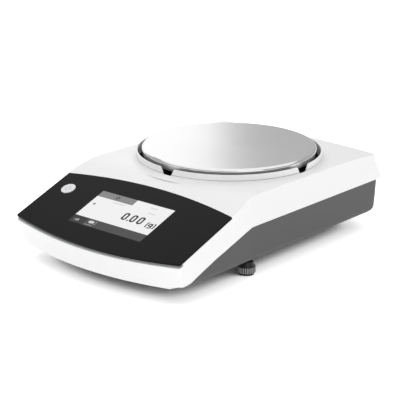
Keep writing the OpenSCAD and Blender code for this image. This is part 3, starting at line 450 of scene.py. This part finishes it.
@dataclass(frozen=True)
class CircuitBoard(Finish):
    """Glass-fibre laminate under green solder mask, with copper tracks that show through."""

    track: str = "#3E7F55"
    cell_mm: float = 3.2
    track_share: float = 0.09
    track_mm: float = 0.03

    def paint(self, tree: bpy.types.NodeTree, shader: bpy.types.Node, place: bpy.types.NodeSocket) -> None:
        """Show the tracks as paler cells a few millimetres across.

        Args:
            tree: the material's nodes.
            shader: the surface shader.
            place: the place on the object, in metres.
        """
        cells = add(tree, "ShaderNodeTexVoronoi",
                    {"feature": "DISTANCE_TO_EDGE", "Scale": 1 / (self.cell_mm * MM)}, {"Vector": place})
        lines = add(tree, "ShaderNodeMath", {"operation": "LESS_THAN", 1: self.track_share},
                    {0: cells.outputs["Distance"]})
        mixed = add(tree, "ShaderNodeMix",
                    {"data_type": "RGBA", 6: linear(self.colour), 7: linear(self.track)}, {0: lines.outputs[0]})
        tree.links.new(mixed.outputs[2], shader.inputs["Base Color"])
        bump = add(tree, "ShaderNodeBump", {"Strength": 1.0, "Distance": self.track_mm * MM},
                   {"Height": lines.outputs[0]})
        tree.links.new(bump.outputs["Normal"], shader.inputs["Normal"])


@dataclass(frozen=True)
class Winding(Finish):
    """Enamelled copper wire wound in layers: each turn shows as a fine ridge."""

    wire_mm: float = 0.5
    ridge_mm: float = 0.2

    def paint(self, tree: bpy.types.NodeTree, shader: bpy.types.Node, place: bpy.types.NodeSocket) -> None:
        """Draw the turns as bands in height, one for each wire.

        Args:
            tree: the material's nodes.
            shader: the surface shader.
            place: the place on the object, in metres.
        """
        self.tone(tree, shader, place, self.colour)
        turns = 1 / (self.wire_mm * MM) / math.tau * math.pi
        bands = add(tree, "ShaderNodeTexWave", {"wave_type": "BANDS", "bands_direction": "Z", "Scale": turns},
                    {"Vector": place})
        bump = add(tree, "ShaderNodeBump", {"Strength": 1.0, "Distance": self.ridge_mm * MM},
                   {"Height": bands.outputs["Fac"]})
        tree.links.new(bump.outputs["Normal"], shader.inputs["Normal"])


class Stock(Enum):
    """The materials that the balance is made of."""

    # Cover: white ABS, moulded in a tool with a fine spark-eroded skin: a soft wide highlight, no sparkle
    # The cover's class also paints a thin line of shade round the collar's foot
    COVER_ABS = MouldedCover("moulded_white_abs", "#E6E6E6", 0.42, specular=0.45, grain_mm=0.7, depth_mm=0.006,
                             uneven=0.006, uneven_mm=60)
    # Tray: grey ABS, moulded with a coarser matt skin, which swallows highlights
    TRAY_ABS = Finish("moulded_grey_abs", "#4C4C4D", 0.55, specular=0.35, grain_mm=0.9, depth_mm=0.02, uneven=0.02)
    # Panel: float glass, printed black on its back, with an etched face that takes the shine off
    PRINTED_GLASS = Finish("back_printed_glass", "#0B0B0C", 0.2, ior=1.52, specular=0.055, grain_mm=1.2,
                           depth_mm=0.0006, uneven=0.03)
    # Trim: extruded grey PC/ABS strip, satin, so that it reads as one even line
    TRIM = Finish("satin_grey_trim", "#77787A", 0.35, grain_mm=0.8, depth_mm=0.004, uneven=0.02)
    # Button: moulded light grey polycarbonate cap, smooth under the finger, with a pad-printed sign
    BUTTON = Finish("button_polycarbonate", "#D9DADB", 0.38, grain_mm=0.6, depth_mm=0.004, uneven=0.01)
    BUTTON_SIGN = Finish("button_print", "#A9ABAD", 0.45, grain_mm=0.5, depth_mm=0.002)
    # Display: a colour liquid crystal cell seen through the glass. Each tone shines by itself, and stays even
    SCREEN_WHITE = Backlit("display_white", "#F0F0F0", 0.12, specular=0.15, uneven=0.004)
    SCREEN_BAR = Backlit("display_status_bar", "#808080", 0.12, specular=0.15)
    SCREEN_TOOLS = Backlit("display_tool_bar", "#3E3E3E", 0.12, specular=0.15)
    SCREEN_SHADE = Backlit("display_tool_shade", "#1C1C1C", 0.12, specular=0.15)
    SCREEN_INK = Backlit("display_digits", "#161616", 0.12, specular=0.15)
    SCREEN_PALE = Backlit("display_pale_marks", "#D6D6D6", 0.12, specular=0.15)
    SCREEN_ICON = Backlit("display_icons", "#D2D2D2", 0.12, specular=0.15)
    SCREEN_GREY = Backlit("display_grey_marks", "#868686", 0.12, specular=0.15)
    # Well tray, level ring, display's frame, switch, sensor, power inlet: moulded black ABS, half matt
    BLACK_ABS = Finish("moulded_black_abs", "#161616", 0.5, specular=0.35, grain_mm=0.8, depth_mm=0.01)
    # Rear feet and all pads: moulded black rubber, matt with a dusty bloom
    RUBBER = Finish("moulded_black_rubber", "#1B1B1B", 0.8, specular=0.25, grain_mm=0.5, depth_mm=0.02, uneven=0.08)
    # Cell: milled aluminium block, with the cutter's long fine lines
    MILLED_ALLOY = BrushedMetal("milled_aluminium", "#C3C6CA", 0.34, metallic=1.0, depth_mm=0.004)
    # Pan support: die-cast aluminium, duller than the milled cell and slightly grainy
    CAST_ALLOY = Finish("die_cast_aluminium", "#B4B7BB", 0.46, metallic=1.0, grain_mm=0.8, depth_mm=0.02, uneven=0.04)
    # Screws, cone and coupling link: turned steel, zinc-plated, with fine rings across the shank
    SCREW_STEEL = BrushedMetal("zinc_plated_steel", "#B9BBBD", 0.3, metallic=1.0, along=(1.0, 1.0, 0.05),
                               line_mm=0.4, depth_mm=0.004)
    # Magnet pot: turned soft iron under nickel, warmer than steel
    YOKE_STEEL = Finish("nickel_plated_iron", "#9C9A94", 0.28, metallic=1.0, grain_mm=1.0, depth_mm=0.004,
                        uneven=0.05)
    # Shells of the two data sockets and of the display: folded and tinned sheet, bright
    TINNED_SHELL = Finish("tinned_steel_shell", "#C9CACB", 0.24, metallic=1.0, grain_mm=0.9, depth_mm=0.003)
    # Coil: enamelled copper wire, wound in layers, with the lacquer's clear gloss
    COPPER_WIRE = Winding("enamelled_copper", "#A9642B", 0.35, coat=0.3)
    # Boards: glass-fibre laminate under green solder mask
    BOARD = CircuitBoard("solder_mask_green", "#1E5A38", 0.35)
    # Flat cable: cream film, with its conductors as fine lines along it
    FLAT_CABLE = BrushedMetal("flat_cable_film", "#D9D4C6", 0.4, along=(1.0, 0.03, 0.03), line_mm=0.6, depth_mm=0.02)
    # Bubble level: tinted fluid behind a clear lens, which gives a sharp highlight
    LEVEL_FLUID = Finish("tinted_level_fluid", "#A9CF3C", 0.08, coat=0.6, grain_mm=3.0, depth_mm=0.001, uneven=0.1,
                         uneven_mm=8)
    # Table: cast white acrylic with a ground face, matt; its glow is dimmed round the balance as a painted shadow
    TABLE = LitTable("white_acrylic_table", "#FAFAFA", 0.9, specular=0.1, uneven=0.002, uneven_mm=400)

    @property
    def material(self) -> bpy.types.Material:
        """The material of this stock."""
        return self.value.material()


# Wheels: nylon, moulded black, with painted highlights on the knurl's crests. Each wheel has its own copy, striped
# round its own stud
WHEEL_NYLON = KnurledWheel("moulded_black_nylon", "#141415", 0.38, specular=0.4, grain_mm=0.6, depth_mm=0.01)
# Pan: stainless sheet, pressed, spun and brushed in rings, so that highlights fan out from its middle
PAN_STEEL = SpunSteel("spun_stainless_steel", "#D8D8D8", 0.25, metallic=1.0, anisotropy=0.18, depth_mm=0.002)


@dataclass(frozen=True)
class Edge:
    """How edges are rounded: radius in millimetres, steps, and the degrees over which an edge has to turn."""

    radius: float
    steps: int
    over: float


def cover(name: str, material: bpy.types.Material) -> bpy.types.Object:
    """Put a material on the whole of a CAD node.

    Args:
        name: the node.
        material: the material.

    Returns:
        The node's object.
    """
    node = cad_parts[name]
    if not node.material_slots:
        node.data.materials.append(None)
    for holder in node.material_slots:
        holder.material = material
    LOG.info("dressed %s", name)
    return node


def soften(node: bpy.types.Object, edge: Edge | None = None) -> None:
    """Join a node's corners, round its edges if asked, and shade its flat faces evenly.

    Args:
        node: the object.
        edge: how its edges are rounded, or None where the CAD has rounded them.
    """
    weld = node.modifiers.new("joined", "WELD")
    weld.merge_threshold = JOINED
    if edge:
        round_over = node.modifiers.new("rounded", "BEVEL")
        round_over.width = edge.radius * MM
        round_over.segments = edge.steps
        round_over.limit_method = "ANGLE"
        round_over.angle_limit = math.radians(edge.over)
        round_over.use_clamp_overlap = True
    node.modifiers.new("shaded", "WEIGHTED_NORMAL")


def dress(name: str, stock: Stock, edge: Edge | None = None) -> None:
    """Give a CAD node its material, and round its edges where they are seen.

    Args:
        name: the node.
        stock: the material.
        edge: how its edges are rounded, or None for a node that is left as it is.
    """
    node = cover(name, stock.material)
    if edge:
        soften(node, edge)


def piece(name: str, mesh: bmesh.types.BMesh, stock: Stock, body: str) -> None:
    """Turn a mesh into a piece that rides on a body.

    Args:
        name: the piece's name.
        mesh: its mesh, in metres and in the frame of the balance. It is freed.
        stock: its material.
        body: the body that it rides on.
    """
    data = bpy.data.meshes.new(name)
    bmesh.ops.recalc_face_normals(mesh, faces=mesh.faces)
    mesh.to_mesh(data)
    mesh.free()
    data.materials.append(stock.material)
    made = bpy.data.objects.new(name, data)
    bpy.context.scene.collection.objects.link(made)
    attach(made, body)
    LOG.info("built %s", name)


@dataclass(frozen=True)
class PanelFrame:
    """The glass's own frame: x to the right, y up the slope from its rear corners, z out of it, in millimetres."""

    tilt: float = 20.0
    rear_bow: float = 11.7
    thickness: float = 2.0

    def matrix(self) -> Matrix:
        """Find where the glass's frame is in the balance.

        Returns:
            The matrix from millimetres on the glass to metres in the balance.
        """
        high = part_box("display_glass")[1]
        slope = math.radians(self.tilt)
        back = self.rear_bow * MM * math.cos(slope) + self.thickness * MM * math.sin(slope)
        origin = Vector((0, high.y - back, high.z - self.rear_bow * MM * math.sin(slope)))
        return Matrix.Translation(origin) @ Matrix.Rotation(slope, 4, "X") @ Matrix.Scale(MM, 4)


def slab(mesh: bmesh.types.BMesh, outline: Sequence[Point], low: float, high: float) -> None:
    """Add a flat piece with the given outline.

    Args:
        mesh: the mesh that takes it.
        outline: its corners, anticlockwise.
        low: height of its underside.
        high: height of its face.
    """
    under = [mesh.verts.new((x, y, low)) for x, y in outline]
    over = [mesh.verts.new((x, y, high)) for x, y in outline]
    mesh.faces.new(reversed(under))
    mesh.faces.new(over)
    count = len(outline)
    for i in range(count):
        j = (i + 1) % count
        mesh.faces.new((under[i], under[j], over[j], over[i]))


def band(mesh: bmesh.types.BMesh, path: Sequence[Point], width: float, low: float, high: float,
         closed: bool = False) -> None:
    """Add a stroke of even width along a path.

    Args:
        mesh: the mesh that takes it.
        path: the middle of the stroke.
        width: its width.
        low: height of its underside.
        high: height of its face.
        closed: whether the path runs back to its start.
    """
    count = len(path)
    left, right = [], []
    for i, (x, y) in enumerate(path):
        before = path[i - 1] if i or closed else path[i]
        after = path[(i + 1) % count] if i < count - 1 or closed else path[i]
        run = Vector((after[0] - before[0], after[1] - before[1])).normalized()
        side = Vector((-run.y, run.x)) * (width / 2)
        left.append((x + side.x, y + side.y))
        right.append((x - side.x, y - side.y))
    rows = [[mesh.verts.new((x, y, z)) for x, y in line] for z in (low, high) for line in (left, right)]
    low_left, low_right, high_left, high_right = rows
    last = count if closed else count - 1
    for i in range(last):
        j = (i + 1) % count
        mesh.faces.new((high_right[i], high_right[j], high_left[j], high_left[i]))
        mesh.faces.new((low_left[i], low_left[j], low_right[j], low_right[i]))
        mesh.faces.new((low_right[i], low_right[j], high_right[j], high_right[i]))
        mesh.faces.new((high_left[i], high_left[j], low_left[j], low_left[i]))
    if not closed:
        mesh.faces.new((low_left[0], low_right[0], high_right[0], high_left[0]))
        mesh.faces.new((high_left[-1], high_right[-1], low_right[-1], low_left[-1]))


def rectangle(x0: float, y0: float, x1: float, y1: float) -> list[Point]:
    """Give the corners of a rectangle, anticlockwise from its lower left one."""
    return [(x0, y0), (x1, y0), (x1, y1), (x0, y1)]


def rounded(x0: float, y0: float, x1: float, y1: float, radius: float, steps: int = 5) -> list[Point]:
    """Lay points round a rectangle with rounded corners, anticlockwise.

    Args:
        x0: left side.
        y0: lower side.
        x1: right side.
        y1: upper side.
        radius: radius of the corners.
        steps: points along each corner, less one.

    Returns:
        Its outline.
    """
    middles = ((x1 - radius, y1 - radius, 0), (x0 + radius, y1 - radius, 90), (x0 + radius, y0 + radius, 180),
               (x1 - radius, y0 + radius, 270))
    return [(cx + radius * math.cos(math.radians(start + 90 * i / steps)),
             cy + radius * math.sin(math.radians(start + 90 * i / steps)))
            for cx, cy, start in middles for i in range(steps + 1)]


def arc(cx: float, cy: float, radius: float, start: float, end: float, steps: int) -> list[Point]:
    """Lay points along an arc.

    Args:
        cx: across to its middle.
        cy: up to its middle.
        radius: its radius.
        start: where it starts, in degrees.
        end: where it ends, in degrees.
        steps: how many equal steps it takes.

    Returns:
        The points, one more than the steps.
    """
    return [(cx + radius * math.cos(math.radians(start + (end - start) * i / steps)),
             cy + radius * math.sin(math.radians(start + (end - start) * i / steps))) for i in range(steps + 1)]


@dataclass
class Housing:
    """The white cover, the grey tray and what closes them."""

    cover_edge: Edge = Edge(0.7, 3, 24.0)
    tray_edge: Edge = Edge(0.5, 2, 28.0)
    hook_edge: Edge = Edge(0.3, 2, 30.0)

    def build(self) -> None:
        """Dress the housing's nodes."""
        dress("top_cover", Stock.COVER_ABS, self.cover_edge)
        dress("base_housing", Stock.TRAY_ABS, self.tray_edge)
        dress("well_tray", Stock.BLACK_ABS)
        dress("hook_cover", Stock.TRAY_ABS, self.hook_edge)
        for name in ("hook_screw", "cover_screws"):
            dress(name, Stock.SCREW_STEEL)
        dress("level_ring", Stock.BLACK_ABS)
        dress("level_vial", Stock.LEVEL_FLUID)


@dataclass
class Panel:
    """The glass with its display, the power button and the trim strip.

    All sizes are millimetres in the glass's own frame. The display's picture is laid on the glass as thin films, each
    lifted a little off what it lies on, so that no two faces share a plane.
    """

    place: PanelFrame = PanelFrame()
    glass_edge: Edge = Edge(0.35, 2, 30.0)
    trim_edge: Edge = Edge(0.2, 2, 30.0)
    button_edge: Edge = Edge(0.35, 3, 40.0)
    half: float = 47.5
    top: float = -11.9
    bottom: float = -64.7
    tools_top: float = -53.6
    bar_right: float = -0.8
    bar_bottom: float = -20.9
    shade_right: float = -29.0
    film: float = 0.04
    lift: float = 0.005
    seam: float = 0.02
    digit_w: float = 4.4
    digit_h: float = 9.15
    corner: float = 1.9
    stroke: float = 2.1
    thin: float = 1.4
    brackets: tuple[tuple[float, int], ...] = ((35.4, 1), (44.8, -1))
    digits_y: float = -42.3
    digits_x: tuple[float, ...] = (3.3, 13.9, 23.2)
    button: Point = (-87.0, -22.5)
    button_proud: float = 0.6
    print_lift: float = 0.002
    print_stroke: float = 0.7

    def build(self) -> None:
        """Dress the panel's nodes and lay the display's picture on the glass."""
        dress("display_glass", Stock.PRINTED_GLASS, self.glass_edge)
        dress("display_trim", Stock.TRIM, self.trim_edge)
        dress("power_button", Stock.BUTTON, self.button_edge)
        dress("display_module", Stock.TINNED_SHELL)
        dress("display_frame", Stock.BLACK_ABS)
        dress("display_board", Stock.BOARD)
        dress("frame_screws", Stock.SCREW_STEEL)
        dress("button_switch", Stock.BLACK_ABS)
        self.fields()
        self.digits()
        self.icons()
        self.sign()

    def lay(self, name: str, mesh: bmesh.types.BMesh, stock: Stock,
            body: str = "housing") -> None:
        """Move a mesh from the glass's frame to the balance's, and make it a piece.

        Args:
            name: the piece's name.
            mesh: its mesh, in millimetres on the glass. It is freed.
            stock: its material.
            body: the body that it rides on.
        """
        mesh.transform(self.place.matrix())
        piece(name, mesh, stock, body)

    def fields(self) -> None:
        """The white field, the status bar and the tool bar with its darker left end."""
        film, lift = self.film, self.lift
        edge = self.tools_top - self.seam
        areas = (
            ("display_field", (-self.half, self.tools_top, self.half, self.top), (lift, film), Stock.SCREEN_WHITE),
            ("display_status", (-self.half, self.bar_bottom, self.bar_right, self.top), (film + lift, 2 * film),
             Stock.SCREEN_BAR),
            ("display_tools", (self.shade_right, self.bottom, self.half, edge), (lift, film), Stock.SCREEN_TOOLS),
            ("display_tools_end", (-self.half, self.bottom, self.shade_right - self.seam, edge), (lift, film),
             Stock.SCREEN_SHADE))
        for name, sides, heights, stock in areas:
            mesh = bmesh.new()
            slab(mesh, rectangle(*sides), *heights)
            self.lay(name, mesh, stock)

    def digits(self) -> None:
        """The reading, 0.00, and its unit in brackets."""
        low, high = self.film + self.lift, 2 * self.film
        ink = bmesh.new()
        for x in self.digits_x:
            path = rounded(x, self.digits_y, x + self.digit_w, self.digits_y + self.digit_h, self.corner)
            band(ink, path, self.stroke, low, high, closed=True)
        slab(ink, rounded(10.4, self.digits_y - 0.9, 12.2, self.digits_y + 0.9, 0.3, 2), low, high)
        base = self.digits_y - 0.4
        top, foot = base + 5.6, base - 1.2
        for x, turn in self.brackets:
            end = x + 1.6 * turn
            band(ink, [(end, top), (x, top), (x, foot), (end, foot)], self.thin, low, high)
        band(ink, arc(39.7, base + 2.8, 1.75, 0, 360, 20)[:-1], 1.5, low, high, closed=True)
        tail = arc(39.9, base, 1.8, 0, -140, 8)[1:]
        band(ink, [(41.7, base + 5.0), (41.7, base), *tail], self.thin, low, high)
        self.lay("display_reading", ink, Stock.SCREEN_INK)

    def icons(self) -> None:
        """Plain marks: two tool icons, a status mark, a dot, and pale lines for the range and the clock."""
        low, high = self.film + self.lift, 2 * self.film
        icons = bmesh.new()
        slab(icons, rounded(-25.2, -59.8, -18.2, -56.2, 1.5, 3), low, high)
        band(icons, [(-40.6, -61.4), (-37.8, -58.6)], 1.1, low, high)
        self.lay("display_icons", icons, Stock.SCREEN_ICON)
        soft = bmesh.new()
        band(soft, [(-43.2, -61.6), (-41.6, -58.4), (-40.4, -60.2), (-38.6, -57.8), (-37.0, -61.6)], 1.3, low, high)
        band(soft, [(-17.2, -56.0), (-15.8, -56.0), (-15.8, -60.8), (-18.2, -60.8)], 1.1, low, high)
        band(soft, [(-21.6, -60.2), (-21.6, -62.0)], 1.2, low, high)
        band(soft, [(-27.4, -62.9), (-17.6, -62.9)], 1.0, low, high)
        self.lay("display_icon_lines", soft, Stock.SCREEN_GREY)
        marks = bmesh.new()
        under, over = high + self.lift, high + self.film
        band(marks, arc(-23.6, -16.3, 1.9, 0, 360, 16)[:-1], 0.8, under, over, closed=True)
        band(marks, [(-25.4, -18.1), (-21.8, -14.5)], 0.7, under, over)
        self.lay("display_marks", marks, Stock.SCREEN_TOOLS)
        dot = bmesh.new()
        slab(dot, arc(-41.0, -32.8, 1.6, 0, 342, 18), low, high)
        self.lay("display_dot", dot, Stock.SCREEN_GREY)
        pale = bmesh.new()
        for x0, x1, y in ((-24.0, -7.0, -24.0), (20.5, 29.5, -17.2), (23.5, 33.0, -25.0)):
            slab(pale, rounded(x0, y - 0.7, x1, y + 0.7, 0.6, 2), low, high)
        self.lay("display_pale_lines", pale, Stock.SCREEN_PALE)

    def sign(self) -> None:
        """The usual open ring and bar, printed on the power button."""
        low, high = self.button_proud + self.print_lift, self.button_proud + self.film
        x, y = self.button
        ink = bmesh.new()
        band(ink, arc(x, y, 3.1, 125, 415, 28), self.print_stroke, low, high)
        band(ink, [(x, y + 0.8), (x, y + 4.1)], self.print_stroke, low, high)
        self.lay("power_sign", ink, Stock.BUTTON_SIGN, "power_button")


@dataclass
class Pan:
    """The weighing pan and what carries it. What lies within face_mm of the pan's top is its brushed face."""

    face_mm: float = 0.3
    edge: Edge = Edge(0.3, 2, 30.0)

    def build(self) -> None:
        """Dress the pan, its support and the pads."""
        low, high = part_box("weighing_pan")
        steel = replace(PAN_STEEL, middle=((low.x + high.x) / 2, (low.y + high.y) / 2),
                        face_height=high.z - self.face_mm * MM)
        soften(cover("weighing_pan", steel.material()))
        dress("pan_support", Stock.CAST_ALLOY, self.edge)
        dress("support_pads", Stock.RUBBER)


@dataclass
class Feet:
    """The levelling feet and the fixed rear feet."""

    def build(self) -> None:
        """Dress the wheels and the pads."""
        for side in ("left", "right"):
            low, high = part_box(f"foot_wheel_{side}")
            nylon = replace(WHEEL_NYLON, name=f"{WHEEL_NYLON.name}_{side}",
                            middle=((low.x + high.x) / 2, (low.y + high.y) / 2))
            cover(f"foot_wheel_{side}", nylon.material())
            dress(f"foot_pad_{side}", Stock.RUBBER)
        dress("rear_feet", Stock.RUBBER)


@dataclass
class WeighCell:
    """The force-restoring cell under the pan."""

    alloy: tuple[str, ...] = ("load_receiver", "upper_guide", "lower_guide", "cell_frame", "weigh_lever")
    steel: tuple[str, ...] = ("load_cone", "coupling_link", "cell_screws")

    def build(self) -> None:
        """Dress the cell's nodes."""
        for name in self.alloy:
            dress(name, Stock.MILLED_ALLOY)
        for name in self.steel:
            dress(name, Stock.SCREW_STEEL)
        dress("coil", Stock.COPPER_WIRE)
        dress("magnet_pot", Stock.YOKE_STEEL)
        dress("position_sensor", Stock.BLACK_ABS)


@dataclass
class Electronics:
    """The main board, the sockets at the back and the flat cable."""

    def build(self) -> None:
        """Dress the electronics."""
        dress("main_board", Stock.BOARD)
        dress("board_screws", Stock.SCREW_STEEL)
        dress("dc_jack", Stock.BLACK_ABS)
        dress("usb_port", Stock.TINNED_SHELL)
        dress("serial_port", Stock.TINNED_SHELL)
        dress("display_cable", Stock.FLAT_CABLE)


@dataclass(frozen=True)
class SoftBox:
    """An area light: where it hangs, the point that it faces, its width and height in metres, and its watts."""

    name: str
    place: Point3
    aim: Point3
    size: Point
    watts: float


@dataclass
class Studio:
    """The floor, the lights and the camera, which stands where the photograph was taken."""

    floor_half: float = 30.0
    azimuth: float = 41.24
    elevation: float = 18.10
    distance: float = 1.5125
    target: Point3 = (0.0, -0.0255, 0.045)
    lens: float = 134.9
    shift: Point = (0.02445, 0.0111)
    sky: float = 0.55
    boxes: tuple[SoftBox, ...] = (
        # A wide ceiling, which lights the cover's faces evenly
        SoftBox("ceiling", (0.0, 0.0, 3.0), (0.0, 0.0, 0.0), (6.8, 6.8), 108.0),
        # At the back left, where the pan's face mirrors it
        SoftBox("back_left", (-1.715, 0.834, 0.738), (-1.055, 0.084, 0.438), (1.6, 1.1), 4.6),
        # On the right, so that the side wall stays nearly white
        SoftBox("right_side", (1.5, -0.6, 0.6), (0.0, 0.0, 0.05), (1.0, 0.9), 2.3),
        # A faint one in front, so that the tray does not sink into black
        SoftBox("front", (0.2, -1.8, 0.7), (0.0, -0.1, 0.04), (1.0, 0.8), 0.2),
    )

    def build(self) -> None:
        """Set the floor, the world, the lights and the camera."""
        self.floor()
        self.world()
        for box in self.boxes:
            self.light(box)
        self.camera()

    def floor(self) -> None:
        """A pale floor that runs out of the view on all sides."""
        mesh = bmesh.new()
        half = self.floor_half
        mesh.faces.new([mesh.verts.new((x, y, 0.0)) for x, y in rectangle(-half, -half, half, half)])
        data = bpy.data.meshes.new("floor")
        mesh.to_mesh(data)
        mesh.free()
        data.materials.append(Stock.TABLE.material)
        made = bpy.data.objects.new("floor", data)
        bpy.context.scene.collection.objects.link(made)

    def world(self) -> None:
        """A pale room."""
        world = bpy.data.worlds.new("room")
        bpy.context.scene.world = world
        world.use_nodes = True
        tree = world.node_tree
        tree.nodes.clear()
        glow = add(tree, "ShaderNodeBackground", {"Color": (1.0, 1.0, 1.0, 1.0), "Strength": self.sky})
        add(tree, "ShaderNodeOutputWorld", {}, {"Surface": glow.outputs[0]})

    def light(self, box: SoftBox) -> None:
        """Hang a soft box that the camera doesn't see.

        Args:
            box: the soft box.
        """
        data = bpy.data.lights.new(box.name, "AREA")
        data.shape = "RECTANGLE"
        data.size, data.size_y = box.size
        data.energy = box.watts
        made = bpy.data.objects.new(box.name, data)
        bpy.context.scene.collection.objects.link(made)
        made.location = box.place
        made.rotation_euler = (Vector(box.aim) - Vector(box.place)).to_track_quat("-Z", "Y").to_euler()
        made.visible_camera = False

    def camera(self) -> None:
        """The camera, with the small shift that puts the balance where the photograph has it."""
        turn, rise = math.radians(self.azimuth), math.radians(self.elevation)
        away = Vector((math.sin(turn) * math.cos(rise), -math.cos(turn) * math.cos(rise), math.sin(rise)))
        data = bpy.data.cameras.new("camera")
        data.lens = self.lens
        data.shift_x, data.shift_y = self.shift
        made = bpy.data.objects.new("camera", data)
        bpy.context.scene.collection.objects.link(made)
        made.location = Vector(self.target) + away * self.distance
        made.rotation_euler = (-away).to_track_quat("-Z", "Y").to_euler()
        bpy.context.scene.camera = made
        bpy.context.scene.view_settings.view_transform = "Standard"


def main() -> None:
    """Build the balance in order, then the studio."""
    logging.basicConfig(level=logging.INFO, format="%(name)s: %(message)s")
    for part in (Housing(), Panel(), Pan(), Feet(), WeighCell(), Electronics(), Studio()):
        part.build()
        LOG.info("%s is ready", type(part).__name__)
    bpy.context.view_layer.update()


if __name__ == "__main__":
    main()
